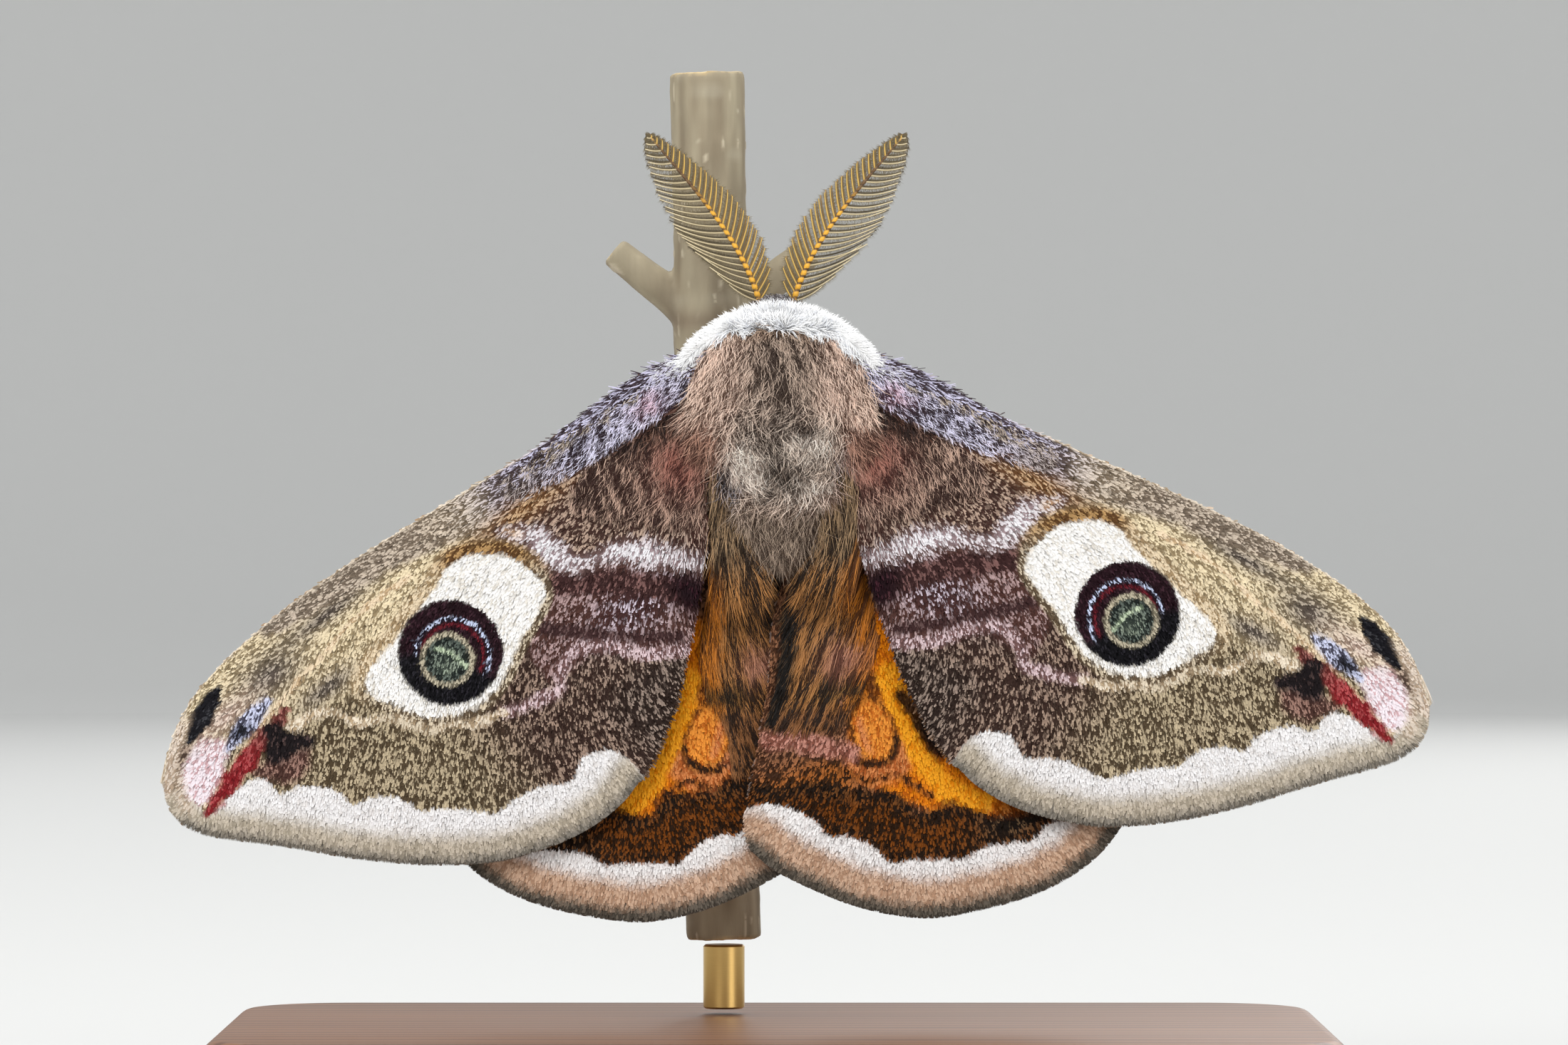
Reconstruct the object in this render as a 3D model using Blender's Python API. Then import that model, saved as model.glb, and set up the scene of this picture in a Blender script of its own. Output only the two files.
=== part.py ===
"""Life-size still model of a male southern emperor moth on a cut length of stem, above a plain stand.

Metres, +Z up. The moth's back faces -Y and its head points up. The origin is the middle of the stand's
underside. Wing outlines are in wing coordinates: out along the wing from its hinge, then towards the tail.
"""
import math
import random

import bmesh
import bpy
from mathutils import Vector

MM = 0.001
GAP = 0.3 * MM

# Stand and perch
BASE_WIDTH, BASE_DEPTH, BASE_HEIGHT = 58 * MM, 38 * MM, 5 * MM
BASE_CORNER = 6 * MM
BASE_BEVEL = 0.8 * MM
ROD_RADIUS = 1.1 * MM
PERCH_RADIUS = 2.1 * MM
PERCH_Y = 8.0 * MM
PERCH_BOTTOM, PERCH_TOP = 9 * MM, 55 * MM
PERCH_FOOT_X, PERCH_LEAN = -2.57 * MM, -0.0195
NODE_Z = 41.4 * MM
STUB_RADIUS, STUB_LENGTH = 0.85 * MM, 4.6 * MM

# Body
THORAX_CENTRE = Vector((0.15, -0.6, 36.6)) * MM
THORAX_RADII = Vector((3.6, 3.4, 4.3)) * MM
THORAX_SQUARENESS = 0.72
THORAX_FUR_TURN = math.radians(50)
THORAX_FUR_ROWS, THORAX_FUR_LOCKS = 6, 6
THORAX_FUR_TOP, THORAX_FUR_BOTTOM = 40.2 * MM, 34.0 * MM
THORAX_FUR_END = 30.4 * MM
THORAX_LOCK_LENGTH, THORAX_LOCK_WIDTH, THORAX_LOCK_LIFT = 2.6 * MM, 1.6 * MM, 0.7 * MM
THORAX_SIDE_ROOM = 2.3 * MM
HEAD_CENTRE = Vector((0.05, 0.9, 41.4)) * MM
HEAD_RADII = Vector((1.7, 1.6, 1.5)) * MM
EYE_OFFSET = Vector((1.45, 0.35, 0.3)) * MM
EYE_RADIUS = 0.8 * MM
COLLAR_TOP_Z, COLLAR_SAG = 41.5 * MM, 73.0
COLLAR_Y, COLLAR_WRAP = -1.9 * MM, -35.0
COLLAR_HALF_WIDTH = 4.6 * MM
COLLAR_RADIUS = 0.55 * MM
COLLAR_LOCKS = 13
COLLAR_TURNS = (15, 68)
RUFF_LENGTH, RUFF_WIDTH, RUFF_LIFT = 1.5 * MM, 0.85 * MM, 0.1 * MM
COLLAR_SIDE_ROOM, COLLAR_LOW = 3.2 * MM, 40.5 * MM
ABDOMEN_TOP, ABDOMEN_TAIL = Vector((0, 1.6, 34.0)) * MM, Vector((0, 2.3, 20.3)) * MM
ABDOMEN_RADIUS = 2.15 * MM
ABDOMEN_RINGS = 8
ABDOMEN_FUR_RINGS, ABDOMEN_FUR_LOCKS = 3, 6
ABDOMEN_LOCK_LENGTH, ABDOMEN_LOCK_WIDTH, ABDOMEN_LOCK_LIFT = 2.9 * MM, 1.4 * MM, 0.35 * MM
TAIL_LOCKS = 5
TAIL_LOCK_LENGTH, TAIL_LOCK_WIDTH = 2.15 * MM, 0.9 * MM

# Locks of hair
LOCK_SINK = 0.45 * MM
LOCK_THICKNESS = 0.5 * MM
LOCK_STATIONS = ((0.0, 0.85), (0.35, 1.0), (0.7, 0.7))

# Wings
WING_Y = -2.0 * MM
WING_DROOP = 0.17
WING_CROWN = 4.0 * MM
TAIL_BULGE, TAIL_BULGE_WIDTH = 0.8 * MM, 3.5 * MM
WING_THICKNESS = 0.5 * MM
WING_LAYER = 1.05 * MM
MIDDLE_REACH = 6.0 * MM
COSTA_BEND = 0.8 * MM
FORE_ROWS, HIND_ROWS = 10, 8
ROW_CROWDING = 1.25
VEIN_HALF_WIDTH = 0.24 * MM
VEIN_HEIGHT = 0.16 * MM
VEIN_CLOSEST = 0.3
VEIN_FORK = 0.36
WING_HAIR_TOP, WING_HAIR_STEP = 29.8 * MM, 2.4 * MM
WING_HAIR_LENGTH, WING_HAIR_WIDTH, WING_HAIR_LIFT = 4.2 * MM, 1.1 * MM, 0.5 * MM
WING_HAIR_SINK = 0.1 * MM
WING_HAIR_SPAN = {"left": (-2.1 * MM, -4.0 * MM), "right": (0.7 * MM, 3.4 * MM)}
COSTA_POINTS, MARGIN_POINTS, INNER_POINTS, VEINS = "costa", "margin", "inner", "veins"
FOREWING = {
    COSTA_POINTS: [(-2.6, -1.2), (-0.6, -2.5), (3.0, -3.0), (7.0, -3.0), (11.0, -3.35), (15.1, -3.75),
                   (19.1, -4.1), (23.4, -4.25), (27.7, -3.95), (30.6, -3.3), (32.8, -2.1), (34.4, -0.6)],
    MARGIN_POINTS: [(34.4, -0.6), (34.95, 0.9), (34.3, 2.8), (31.0, 6.05), (28.4, 8.7), (25.5, 11.2),
                    (22.6, 13.1), (20.6, 13.9), (18.7, 14.4), (17.0, 14.6), (15.3, 14.5), (14.1, 14.15)],
    INNER_POINTS: [(-2.6, 0.6), (-0.6, 1.0), (0.9, 2.1), (2.4, 4.3), (3.6, 6.1), (6.1, 8.6),
                   (8.8, 11.0), (10.3, 12.2), (12.1, 13.3), (14.1, 14.15)],
    VEINS: [(0.08, 0.02), (0.18, 0.12), (0.27, 0.26), (0.38, 0.41), (0.54, 0.56), (0.63, 0.72), (0.72, 0.88),
            (0.88, 0.97)],
}
HINDWING = {
    COSTA_POINTS: [(-1.6, -1.2), (0.2, -2.0), (3.1, -3.5), (7.4, -6.0), (12.5, -8.3), (17.5, -10.0),
                   (20.8, -9.9)],
    MARGIN_POINTS: [(20.8, -9.9), (23.0, -8.7), (24.9, -6.6), (25.9, -4.4), (26.3, -1.7), (26.1, 1.7),
                    (25.5, 4.3), (23.8, 7.3), (21.1, 10.3), (19.5, 11.4)],
    INNER_POINTS: [(-1.6, 0.6), (1.0, 1.0), (3.4, 2.6), (5.3, 4.4), (6.8, 5.7), (8.6, 6.8), (11.5, 8.0),
                   (15.5, 10.1), (18.0, 11.4), (19.5, 11.4)],
    VEINS: [(0.10, 0.06), (0.24, 0.22), (0.36, 0.38), (0.48, 0.53), (0.60, 0.68), (0.72, 0.83), (0.88, 0.95)],
}
SIDES = {"left": -1, "right": 1}
FORE_HINGE = {"left": (-4.2 * MM, 37.36 * MM), "right": (3.98 * MM, 37.55 * MM)}
FORE_ANGLE = {"left": math.radians(36.5), "right": math.radians(28.8)}
HIND_HINGE = {"left": (-3.83 * MM, 36.06 * MM), "right": (3.6 * MM, 36.06 * MM)}
HIND_ANGLE = {"left": math.radians(75.0), "right": math.radians(72.0)}

# Antennae and legs
ANTENNA_BASE = Vector((0.75, 0.7, 42.1)) * MM
ANTENNA_BEND = [Vector((1.5, 0.6, 45.6)) * MM, Vector((4.2, 0.0, 48.4)) * MM]
ANTENNA_TIP = Vector((6.65, -0.4, 51.3)) * MM
SHAFT_RADIUS, SHAFT_TIP_RADIUS = 0.32 * MM, 0.16 * MM
COMB_TEETH = 14
COMB_START, COMB_END = 0.13, 0.97
TOOTH_LENGTH, TOOTH_WIDTH = 2.35 * MM, 0.46 * MM
TOOTH_LEAN, TOOTH_CURL = 0.75, 0.55
LEG_PAIRS = {"fore": (38.4 * MM, 37.9 * MM), "mid": (36.4 * MM, 36.2 * MM), "hind": (34.6 * MM, 32.6 * MM)}
LEG_ROOT_X, LEG_ROOT_Y = 1.5 * MM, 1.2 * MM
LEG_KNEE_OUT, LEG_KNEE_Y, LEG_KNEE_DROP = 1.5 * MM, 5.0 * MM, 1.2 * MM
LEG_RADII = (0.5 * MM, 0.45 * MM, 0.36 * MM, 0.26 * MM)
TARSUS_REACH = 1.4 * MM

# Colours
BROWN_FUR = (0.19, 0.13, 0.09, 1)
WHITE_FUR = (0.82, 0.80, 0.77, 1)
WING_BROWN = (0.26, 0.19, 0.14, 1)
WING_ORANGE = (0.62, 0.22, 0.03, 1)
EYE_BLACK = (0.02, 0.015, 0.012, 1)
ANTENNA_GOLD = (0.42, 0.27, 0.10, 1)
LEG_BROWN = (0.20, 0.12, 0.08, 1)
BARK = (0.30, 0.25, 0.19, 1)
STAND_WOOD = (0.16, 0.08, 0.04, 1)
ROD_METAL = (0.45, 0.40, 0.32, 1)


def clear_scene():
    """Remove what the scene holds."""
    for old in list(bpy.data.objects):
        bpy.data.objects.remove(old, do_unlink=True)


def new_collection(name):
    collection = bpy.data.collections.new(name)
    bpy.context.scene.collection.children.link(collection)
    return collection


def finish(obj, colour, roughness=0.8, metallic=0.0):
    """Give a node its material and soft shading."""
    material = bpy.data.materials.new(obj.name)
    material.use_nodes = True
    shader = material.node_tree.nodes["Principled BSDF"]
    shader.inputs["Base Color"].default_value = colour
    shader.inputs["Roughness"].default_value = roughness
    shader.inputs["Metallic"].default_value = metallic
    obj.data.materials.clear()
    obj.data.materials.append(material)
    obj.data.shade_smooth()
    obj.data.set_sharp_from_angle(angle=math.radians(40))
    return obj


def object_from(name, bm, collection):
    """Turn a bmesh into an object with its faces pointing out."""
    bmesh.ops.recalc_face_normals(bm, faces=bm.faces[:])
    mesh = bpy.data.meshes.new(name)
    bm.to_mesh(mesh)
    bm.free()
    obj = bpy.data.objects.new(name, mesh)
    collection.objects.link(obj)
    return obj


def apply_modifiers(obj):
    """Replace an object's mesh with its evaluated one."""
    bpy.context.view_layer.update()
    depsgraph = bpy.context.evaluated_depsgraph_get()
    mesh = bpy.data.meshes.new_from_object(obj.evaluated_get(depsgraph))
    obj.modifiers.clear()
    obj.data = mesh
    return obj


def keep_largest(obj):
    """Keep only the largest closed surface of an object."""
    bm = bmesh.new()
    bm.from_mesh(obj.data)
    bmesh.ops.triangulate(bm, faces=bm.faces[:])
    left = set(bm.faces)
    islands = []
    while left:
        seed = left.pop()
        island, edge_of_search = {seed}, [seed]
        while edge_of_search:
            face = edge_of_search.pop()
            for edge in face.edges:
                for near in edge.link_faces:
                    if near in left:
                        left.discard(near)
                        island.add(near)
                        edge_of_search.append(near)
        islands.append(island)
    islands.sort(key=lambda faces: sum(face.calc_area() for face in faces))
    dropped = [face for island in islands[:-1] for face in island]
    bmesh.ops.delete(bm, geom=dropped, context="FACES")
    bm.to_mesh(obj.data)
    bm.free()
    return obj


def cut(obj, cutter):
    """Cut one object with another, which is then removed."""
    modifier = obj.modifiers.new("cut", "BOOLEAN")
    modifier.operation = "DIFFERENCE"
    modifier.solver = "EXACT"
    modifier.object = cutter
    apply_modifiers(obj)
    bpy.data.objects.remove(cutter, do_unlink=True)
    return keep_largest(obj)


def fuse(obj, pieces):
    """Join a collection of closed pieces to an object; the pieces are then removed."""
    modifier = obj.modifiers.new("fuse", "BOOLEAN")
    modifier.operation = "UNION"
    modifier.solver = "EXACT"
    modifier.operand_type = "COLLECTION"
    modifier.collection = pieces
    apply_modifiers(obj)
    for piece in list(pieces.objects):
        bpy.data.objects.remove(piece, do_unlink=True)
    bpy.data.collections.remove(pieces)
    return keep_largest(obj)


def ellipsoid(name, centre, radii, collection, squareness=1.0, around=20, rings=12):
    """A ball stretched to three radii; a squareness under 1 makes it fuller, like a barrel."""
    bm = bmesh.new()
    bmesh.ops.create_uvsphere(bm, u_segments=around, v_segments=rings, radius=1)
    for vertex in bm.verts:
        side = math.hypot(vertex.co.x, vertex.co.y)
        if side > 1e-6:
            fuller = side ** squareness / side
            vertex.co.x *= fuller
            vertex.co.y *= fuller
        vertex.co.z = math.copysign(abs(vertex.co.z) ** squareness, vertex.co.z)
        vertex.co = centre + Vector((vertex.co.x * radii.x, vertex.co.y * radii.y, vertex.co.z * radii.z))
    return object_from(name, bm, collection)


def part_from(obj, form, cutters):
    """Cut an object clear of the thorax or the head by the usual gap."""
    return cut(obj, form("room", cutters, GAP))


def thorax_form(name, collection, margin=0.0):
    radii = THORAX_RADII + Vector((margin, margin, margin))
    return ellipsoid(name, THORAX_CENTRE, radii, collection, THORAX_SQUARENESS)


def head_form(name, collection, margin=0.0):
    radii = HEAD_RADII + Vector((margin, margin, margin))
    return ellipsoid(name, HEAD_CENTRE, radii, collection, around=16, rings=10)


def loft(name, rings, collection):
    """A closed body through rings of points, with a fan at each end."""
    bm = bmesh.new()
    loops = [[bm.verts.new(point) for point in ring] for ring in rings]
    for low, high in zip(loops, loops[1:]):
        for i in range(len(low)):
            j = (i + 1) % len(low)
            bm.faces.new((low[i], low[j], high[j], high[i]))
    for loop in (loops[0], loops[-1]):
        middle = bm.verts.new(sum((vertex.co for vertex in loop), Vector()) / len(loop))
        for i in range(len(loop)):
            bm.faces.new((loop[i], loop[(i + 1) % len(loop)], middle))
    return object_from(name, bm, collection)


def tube(name, points, radii, collection, sides=8, flatness=1.0):
    """A tapering tube along a path, made of rings square to it."""
    rings = []
    for i, point in enumerate(points):
        before, after = points[max(i - 1, 0)], points[min(i + 1, len(points) - 1)]
        along = (after - before).normalized()
        across = along.orthogonal().normalized() if i == 0 else across - along * across.dot(along)
        across.normalize()
        up = along.cross(across)
        turns = [2 * math.pi * k / sides for k in range(sides)]
        rings.append([point + radii[i] * (across * math.cos(a) + up * flatness * math.sin(a)) for a in turns])
    return loft(name, rings, collection)


def lock(name, root, outward, lie, length, width, lift, collection, sink=LOCK_SINK, bend_clear=None):
    """A flat, tapered lock of hair, rooted under the skin and lifting towards its tip."""
    lie = (lie - outward * lie.dot(outward)).normalized()
    across = lie.cross(outward).normalized()
    bm = bmesh.new()

    def place(t):
        rise = (sink + lift) * math.sin(math.pi / 2 * min(t * 1.15, 1))
        point = root + lie * length * t + outward * (rise - sink)
        return bend_clear(point) if bend_clear else point
    loops = []
    for t, fullness in LOCK_STATIONS:
        half, thin = width / 2 * fullness, LOCK_THICKNESS / 2 * (1 - 0.35 * t)
        ring = (across * half, outward * thin, across * -half, outward * -thin)
        loops.append([bm.verts.new(place(t) + offset) for offset in ring])
    tip = bm.verts.new(place(1))
    for low, high in zip(loops, loops[1:]):
        for i in range(4):
            bm.faces.new((low[i], low[(i + 1) % 4], high[(i + 1) % 4], high[i]))
    for i in range(4):
        bm.faces.new((loops[-1][i], loops[-1][(i + 1) % 4], tip))
    bm.faces.new(loops[0])
    return object_from(name, bm, collection)


def smooth(x):
    x = min(max(x, 0.0), 1.0)
    return x * x * (3 - 2 * x)


def through(points, at):
    """The point at a fraction of a smooth curve's length through given points."""
    points = [Vector(point) for point in points]
    lengths = [0.0]
    for a, b in zip(points, points[1:]):
        lengths.append(lengths[-1] + (b - a).length)
    wanted = min(max(at, 0.0), 1.0) * lengths[-1]
    i = 0
    while i < len(points) - 2 and lengths[i + 1] < wanted:
        i += 1
    t = (wanted - lengths[i]) / (lengths[i + 1] - lengths[i])
    p1, p2 = points[i], points[i + 1]
    p0 = points[i - 1] if i else p1 * 2 - p2
    p3 = points[i + 2] if i + 2 < len(points) else p2 * 2 - p1
    return 0.5 * (2 * p1 + (p2 - p0) * t + (2 * p0 - 5 * p1 + 4 * p2 - p3) * t * t
                  + (3 * p1 - p0 - 3 * p2 + p3) * t ** 3)


def bezier(points, at):
    """A point on the curve that control points pull into shape."""
    while len(points) > 1:
        points = [a.lerp(b, at) for a, b in zip(points, points[1:])]
    return points[0]


def wing_patch(shape, across, along):
    """A point inside a wing's outline, from costa to inner margin and from root to outer margin."""
    costa, inner = through(shape[COSTA_POINTS], along), through(shape[INNER_POINTS], along)
    root = Vector(shape[COSTA_POINTS][0]).lerp(Vector(shape[INNER_POINTS][0]), across)
    margin = through(shape[MARGIN_POINTS], across)
    apex, tornus = Vector(shape[MARGIN_POINTS][0]), Vector(shape[MARGIN_POINTS][-1])
    shoulder, groin = Vector(shape[COSTA_POINTS][0]), Vector(shape[INNER_POINTS][0])
    corners = (shoulder * (1 - across) + groin * across) * (1 - along)
    corners += (apex * (1 - across) + tornus * across) * along
    return costa * (1 - across) + inner * across + root * (1 - along) + margin * along - corners


def wing_plane(x):
    """Depth of the surface that all four wings lie along."""
    droop = WING_DROOP * (math.hypot(x, WING_CROWN) - WING_CROWN)
    return WING_Y + droop - TAIL_BULGE * math.exp(-(x / TAIL_BULGE_WIDTH) ** 2)


def place_on_wing(point, side, hinge, angle, depth):
    """Put a point in wing coordinates in its place on the model."""
    out, back = point.x * MM, point.y * MM
    x = hinge[0] + side * (out * math.cos(angle) - back * math.sin(angle))
    z = hinge[1] - (out * math.sin(angle) + back * math.cos(angle))
    return Vector((x, wing_plane(x) + depth(x, point), z))


def vane(name, front, back, collection):
    """A thin closed sheet from two grids of points, split into triangles alike on both faces."""
    bm = bmesh.new()
    faces_of = []
    for grid in (front, back):
        faces_of.append([[bm.verts.new(point) for point in row] for row in grid])
    ahead, behind = faces_of
    rows, columns = len(front), len(front[0])
    for i in range(rows - 1):
        for j in range(columns - 1):
            for grid in faces_of:
                a, b, c, d = grid[i][j], grid[i + 1][j], grid[i + 1][j + 1], grid[i][j + 1]
                bm.faces.new((a, b, c))
                bm.faces.new((a, c, d))
    rim = [(i, 0) for i in range(rows)] + [(rows - 1, j) for j in range(1, columns)]
    rim += [(i, columns - 1) for i in range(rows - 2, -1, -1)] + [(0, j) for j in range(columns - 2, 0, -1)]
    for (i, j), (m, n) in zip(rim, rim[1:] + rim[:1]):
        bm.faces.new((ahead[i][j], ahead[m][n], behind[m][n], behind[i][j]))
    return object_from(name, bm, collection)


def vein_columns(shape, along):
    """Fractions across a row of a wing, with the share of a vein's height that each stands up."""
    spread = max(0.0, (along - VEIN_FORK) / (1 - VEIN_FORK))
    crests = [root + (margin - root) * spread for root, margin in shape[VEINS]]
    chord = (through(shape[COSTA_POINTS], along) - through(shape[INNER_POINTS], along)).length * MM
    columns = [(0.0, 0.0)]
    ends = [0.0, *crests, 1.0]
    for before, crest, after in zip(ends, crests, ends[2:]):
        foot = min(VEIN_HALF_WIDTH / chord, VEIN_CLOSEST * (crest - before), VEIN_CLOSEST * (after - crest))
        columns += [(crest - foot, 0.0), (crest, 1.0), (crest + foot, 0.0)]
        if after < 1.0:
            columns.append(((crest + after) / 2, 0.0))
    return columns + [(1.0, 0.0)]


def wing(name, shape, rows, side, hinge, angle, depth, parts):
    """One wing with its main veins raised in the membrane; the rows of its net crowd towards the root."""
    front, back = [], []
    for i in range(rows + 1):
        along = (i / rows) ** ROW_CROWDING
        ahead, behind = [], []
        for across, share in vein_columns(shape, along):
            middle = place_on_wing(wing_patch(shape, across, along), side, hinge, angle, depth)
            vein = share * VEIN_HEIGHT * (1 - 0.5 * along)
            ahead.append(middle - Vector((0, WING_THICKNESS / 2 + vein, 0)))
            behind.append(middle + Vector((0, WING_THICKNESS / 2, 0)))
        front.append(ahead)
        back.append(behind)
    return vane(name, front, back, parts)


def wing_front(x):
    """Depth that the middle of a lock over the wings keeps in front of."""
    return wing_plane(x) - WING_THICKNESS / 2 - VEIN_HEIGHT - GAP - LOCK_THICKNESS / 2


def forewing(side_name, parts, cutters):
    def depth(x, point):
        return COSTA_BEND * smooth((-1.0 - point.y) / 3.5) * smooth((point.x - 2.0) / 8.0)
    obj = wing(f"forewing_{side_name}", FOREWING, FORE_ROWS, SIDES[side_name], FORE_HINGE[side_name],
               FORE_ANGLE[side_name], depth, parts)
    part_from(obj, thorax_form, cutters)
    return finish(obj, WING_BROWN)


def hindwing(side_name, parts, cutters):
    def depth(x, point):
        under = WING_LAYER if side_name == "left" else 0.0
        return WING_LAYER + under * smooth((x + MIDDLE_REACH) / MIDDLE_REACH)
    obj = wing(f"hindwing_{side_name}", HINDWING, HIND_ROWS, SIDES[side_name], HIND_HINGE[side_name],
               HIND_ANGLE[side_name], depth, parts)
    side = SIDES[side_name]
    hair = new_collection("hindwing_hair")
    random_hair = random.Random(7 + side)
    near, far = WING_HAIR_SPAN[side_name]
    for row in range(2):
        for column in range(3):
            x = near + (far - near) * (column + 0.5 * row) / 2.5
            y = wing_plane(x) + depth(x, None) - WING_THICKNESS / 2
            root = Vector((x, y, WING_HAIR_TOP - row * WING_HAIR_STEP))
            lie = Vector((-side * (0.05 + 0.12 * column), 0, -1))
            length = WING_HAIR_LENGTH * random_hair.uniform(0.85, 1.1)
            lock(f"hair_{row}_{column}", root, Vector((0, -1, 0)), lie, length, WING_HAIR_WIDTH,
                 WING_HAIR_LIFT, hair, sink=WING_HAIR_SINK)
    fuse(obj, hair)
    part_from(obj, thorax_form, cutters)
    return finish(obj, WING_ORANGE)


def thorax_skin(turn, z):
    """A point on the thorax and the way out of it; turn runs from the middle of the back to the right."""
    up = (z - THORAX_CENTRE.z) / THORAX_RADII.z
    rise = abs(up) ** (1 / THORAX_SQUARENESS)
    around = math.sqrt(max(0.0, 1 - rise * rise)) ** THORAX_SQUARENESS
    offset = Vector((math.sin(turn) * around * THORAX_RADII.x, -math.cos(turn) * around * THORAX_RADII.y,
                     z - THORAX_CENTRE.z))
    outward = Vector([0.7 ** (i == 2) * offset[i] / THORAX_RADII[i] ** 2 for i in range(3)]).normalized()
    return THORAX_CENTRE + offset, outward


def thorax(parts):
    """Chest with overlapping locks down its back, the outer ones spreading over the wing roots."""
    obj = thorax_form("thorax", parts)
    hair = new_collection("thorax_hair")
    random_hair = random.Random(3)

    def bend_clear(point):
        beside = abs(point.x - THORAX_CENTRE.x) > THORAX_SIDE_ROOM
        below = point.z < THORAX_CENTRE.z - THORAX_RADII.z
        y = min(point.y, wing_front(point.x)) if beside or below else point.y
        return Vector((point.x, y, max(point.z, THORAX_FUR_END)))
    for row in range(THORAX_FUR_ROWS):
        down = row / (THORAX_FUR_ROWS - 1)
        z = THORAX_FUR_TOP + (THORAX_FUR_BOTTOM - THORAX_FUR_TOP) * down
        for column in range(THORAX_FUR_LOCKS):
            place = (column + 0.5 * (row % 2) + 0.25) / THORAX_FUR_LOCKS * 2 - 1
            turn = THORAX_FUR_TURN * place + random_hair.uniform(-0.04, 0.04)
            root, outward = thorax_skin(turn, z)
            lie = Vector((place * (0.9 - 0.8 * down) + random_hair.uniform(-0.1, 0.1), 0, -1))
            length = THORAX_LOCK_LENGTH * (1 + 0.15 * abs(place) + 0.2 * down)
            length *= random_hair.uniform(0.9, 1.15)
            lift = THORAX_LOCK_LIFT * random_hair.uniform(0.7, 1.3)
            lock(f"hair_{row}_{column}", root, outward, lie, length, THORAX_LOCK_WIDTH, lift, hair,
                 bend_clear=bend_clear)
    return finish(fuse(obj, hair), BROWN_FUR)


def head(parts, cutters):
    obj = part_from(head_form("head", parts), thorax_form, cutters)
    return finish(obj, BROWN_FUR)


def eyes(parts, cutters):
    for name, side in SIDES.items():
        offset = Vector((side * EYE_OFFSET.x, EYE_OFFSET.y, EYE_OFFSET.z))
        radii = Vector((EYE_RADIUS, EYE_RADIUS, EYE_RADIUS))
        obj = ellipsoid(f"eye_{name}", HEAD_CENTRE + offset, radii, parts, around=14, rings=9)
        part_from(obj, head_form, cutters)
        finish(obj, EYE_BLACK, roughness=0.15)


def collar_path(x):
    return Vector((x + THORAX_CENTRE.x, COLLAR_Y + COLLAR_WRAP * x * x, COLLAR_TOP_Z - COLLAR_SAG * x * x))


def collar(parts, cutters):
    """White ruff over the front of the thorax."""
    steps = 14
    across = [COLLAR_HALF_WIDTH * (2 * i / steps - 1) for i in range(steps + 1)]
    points = [collar_path(x) for x in across]
    radii = [COLLAR_RADIUS * (1 - 0.6 * abs(x / COLLAR_HALF_WIDTH) ** 3) for x in across]
    obj = tube("collar", points, radii, parts, sides=8)

    def bend_clear(point):
        over_wing = abs(point.x - THORAX_CENTRE.x) > COLLAR_SIDE_ROOM and point.z < COLLAR_LOW
        return Vector((point.x, min(point.y, wing_front(point.x)) if over_wing else point.y, point.z))
    ruff = new_collection("ruff")
    random_hair = random.Random(11)
    for k, turn in enumerate(COLLAR_TURNS):
        for i in range(COLLAR_LOCKS):
            x = COLLAR_HALF_WIDTH * 0.94 * (2 * (i + 0.3 * k) / (COLLAR_LOCKS - 0.4) - 1)
            slope = math.atan(2 * COLLAR_SAG * x)
            spread = Vector((math.sin(slope), 0, math.cos(slope)))
            angle = math.radians(turn + random_hair.uniform(-8, 8))
            outward = Vector((0, -1, 0)) * math.cos(angle) + spread * math.sin(angle)
            tilt = spread * math.cos(angle) + Vector((0, 1, 0)) * math.sin(angle)
            lie = outward + tilt * 0.3 + Vector((0.45 * x / COLLAR_HALF_WIDTH, 0, 0))
            root = collar_path(x) + outward * COLLAR_RADIUS * 0.4
            side = lie.cross(Vector((0, 1, 0.01))).cross(lie).normalized()
            length = RUFF_LENGTH * random_hair.uniform(0.88, 1.1)
            lock(f"ruff_{k}_{i}", root, side, lie, length, RUFF_WIDTH, RUFF_LIFT, ruff,
                 bend_clear=bend_clear)
    fuse(obj, ruff)
    for form in (thorax_form, head_form):
        part_from(obj, form, cutters)
    return finish(obj, WHITE_FUR)


def abdomen_radius(t):
    return ABDOMEN_RADIUS * (0.2 + 0.8 * math.sin(math.pi * (0.18 + 0.8 * t)) ** 0.6)


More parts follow.
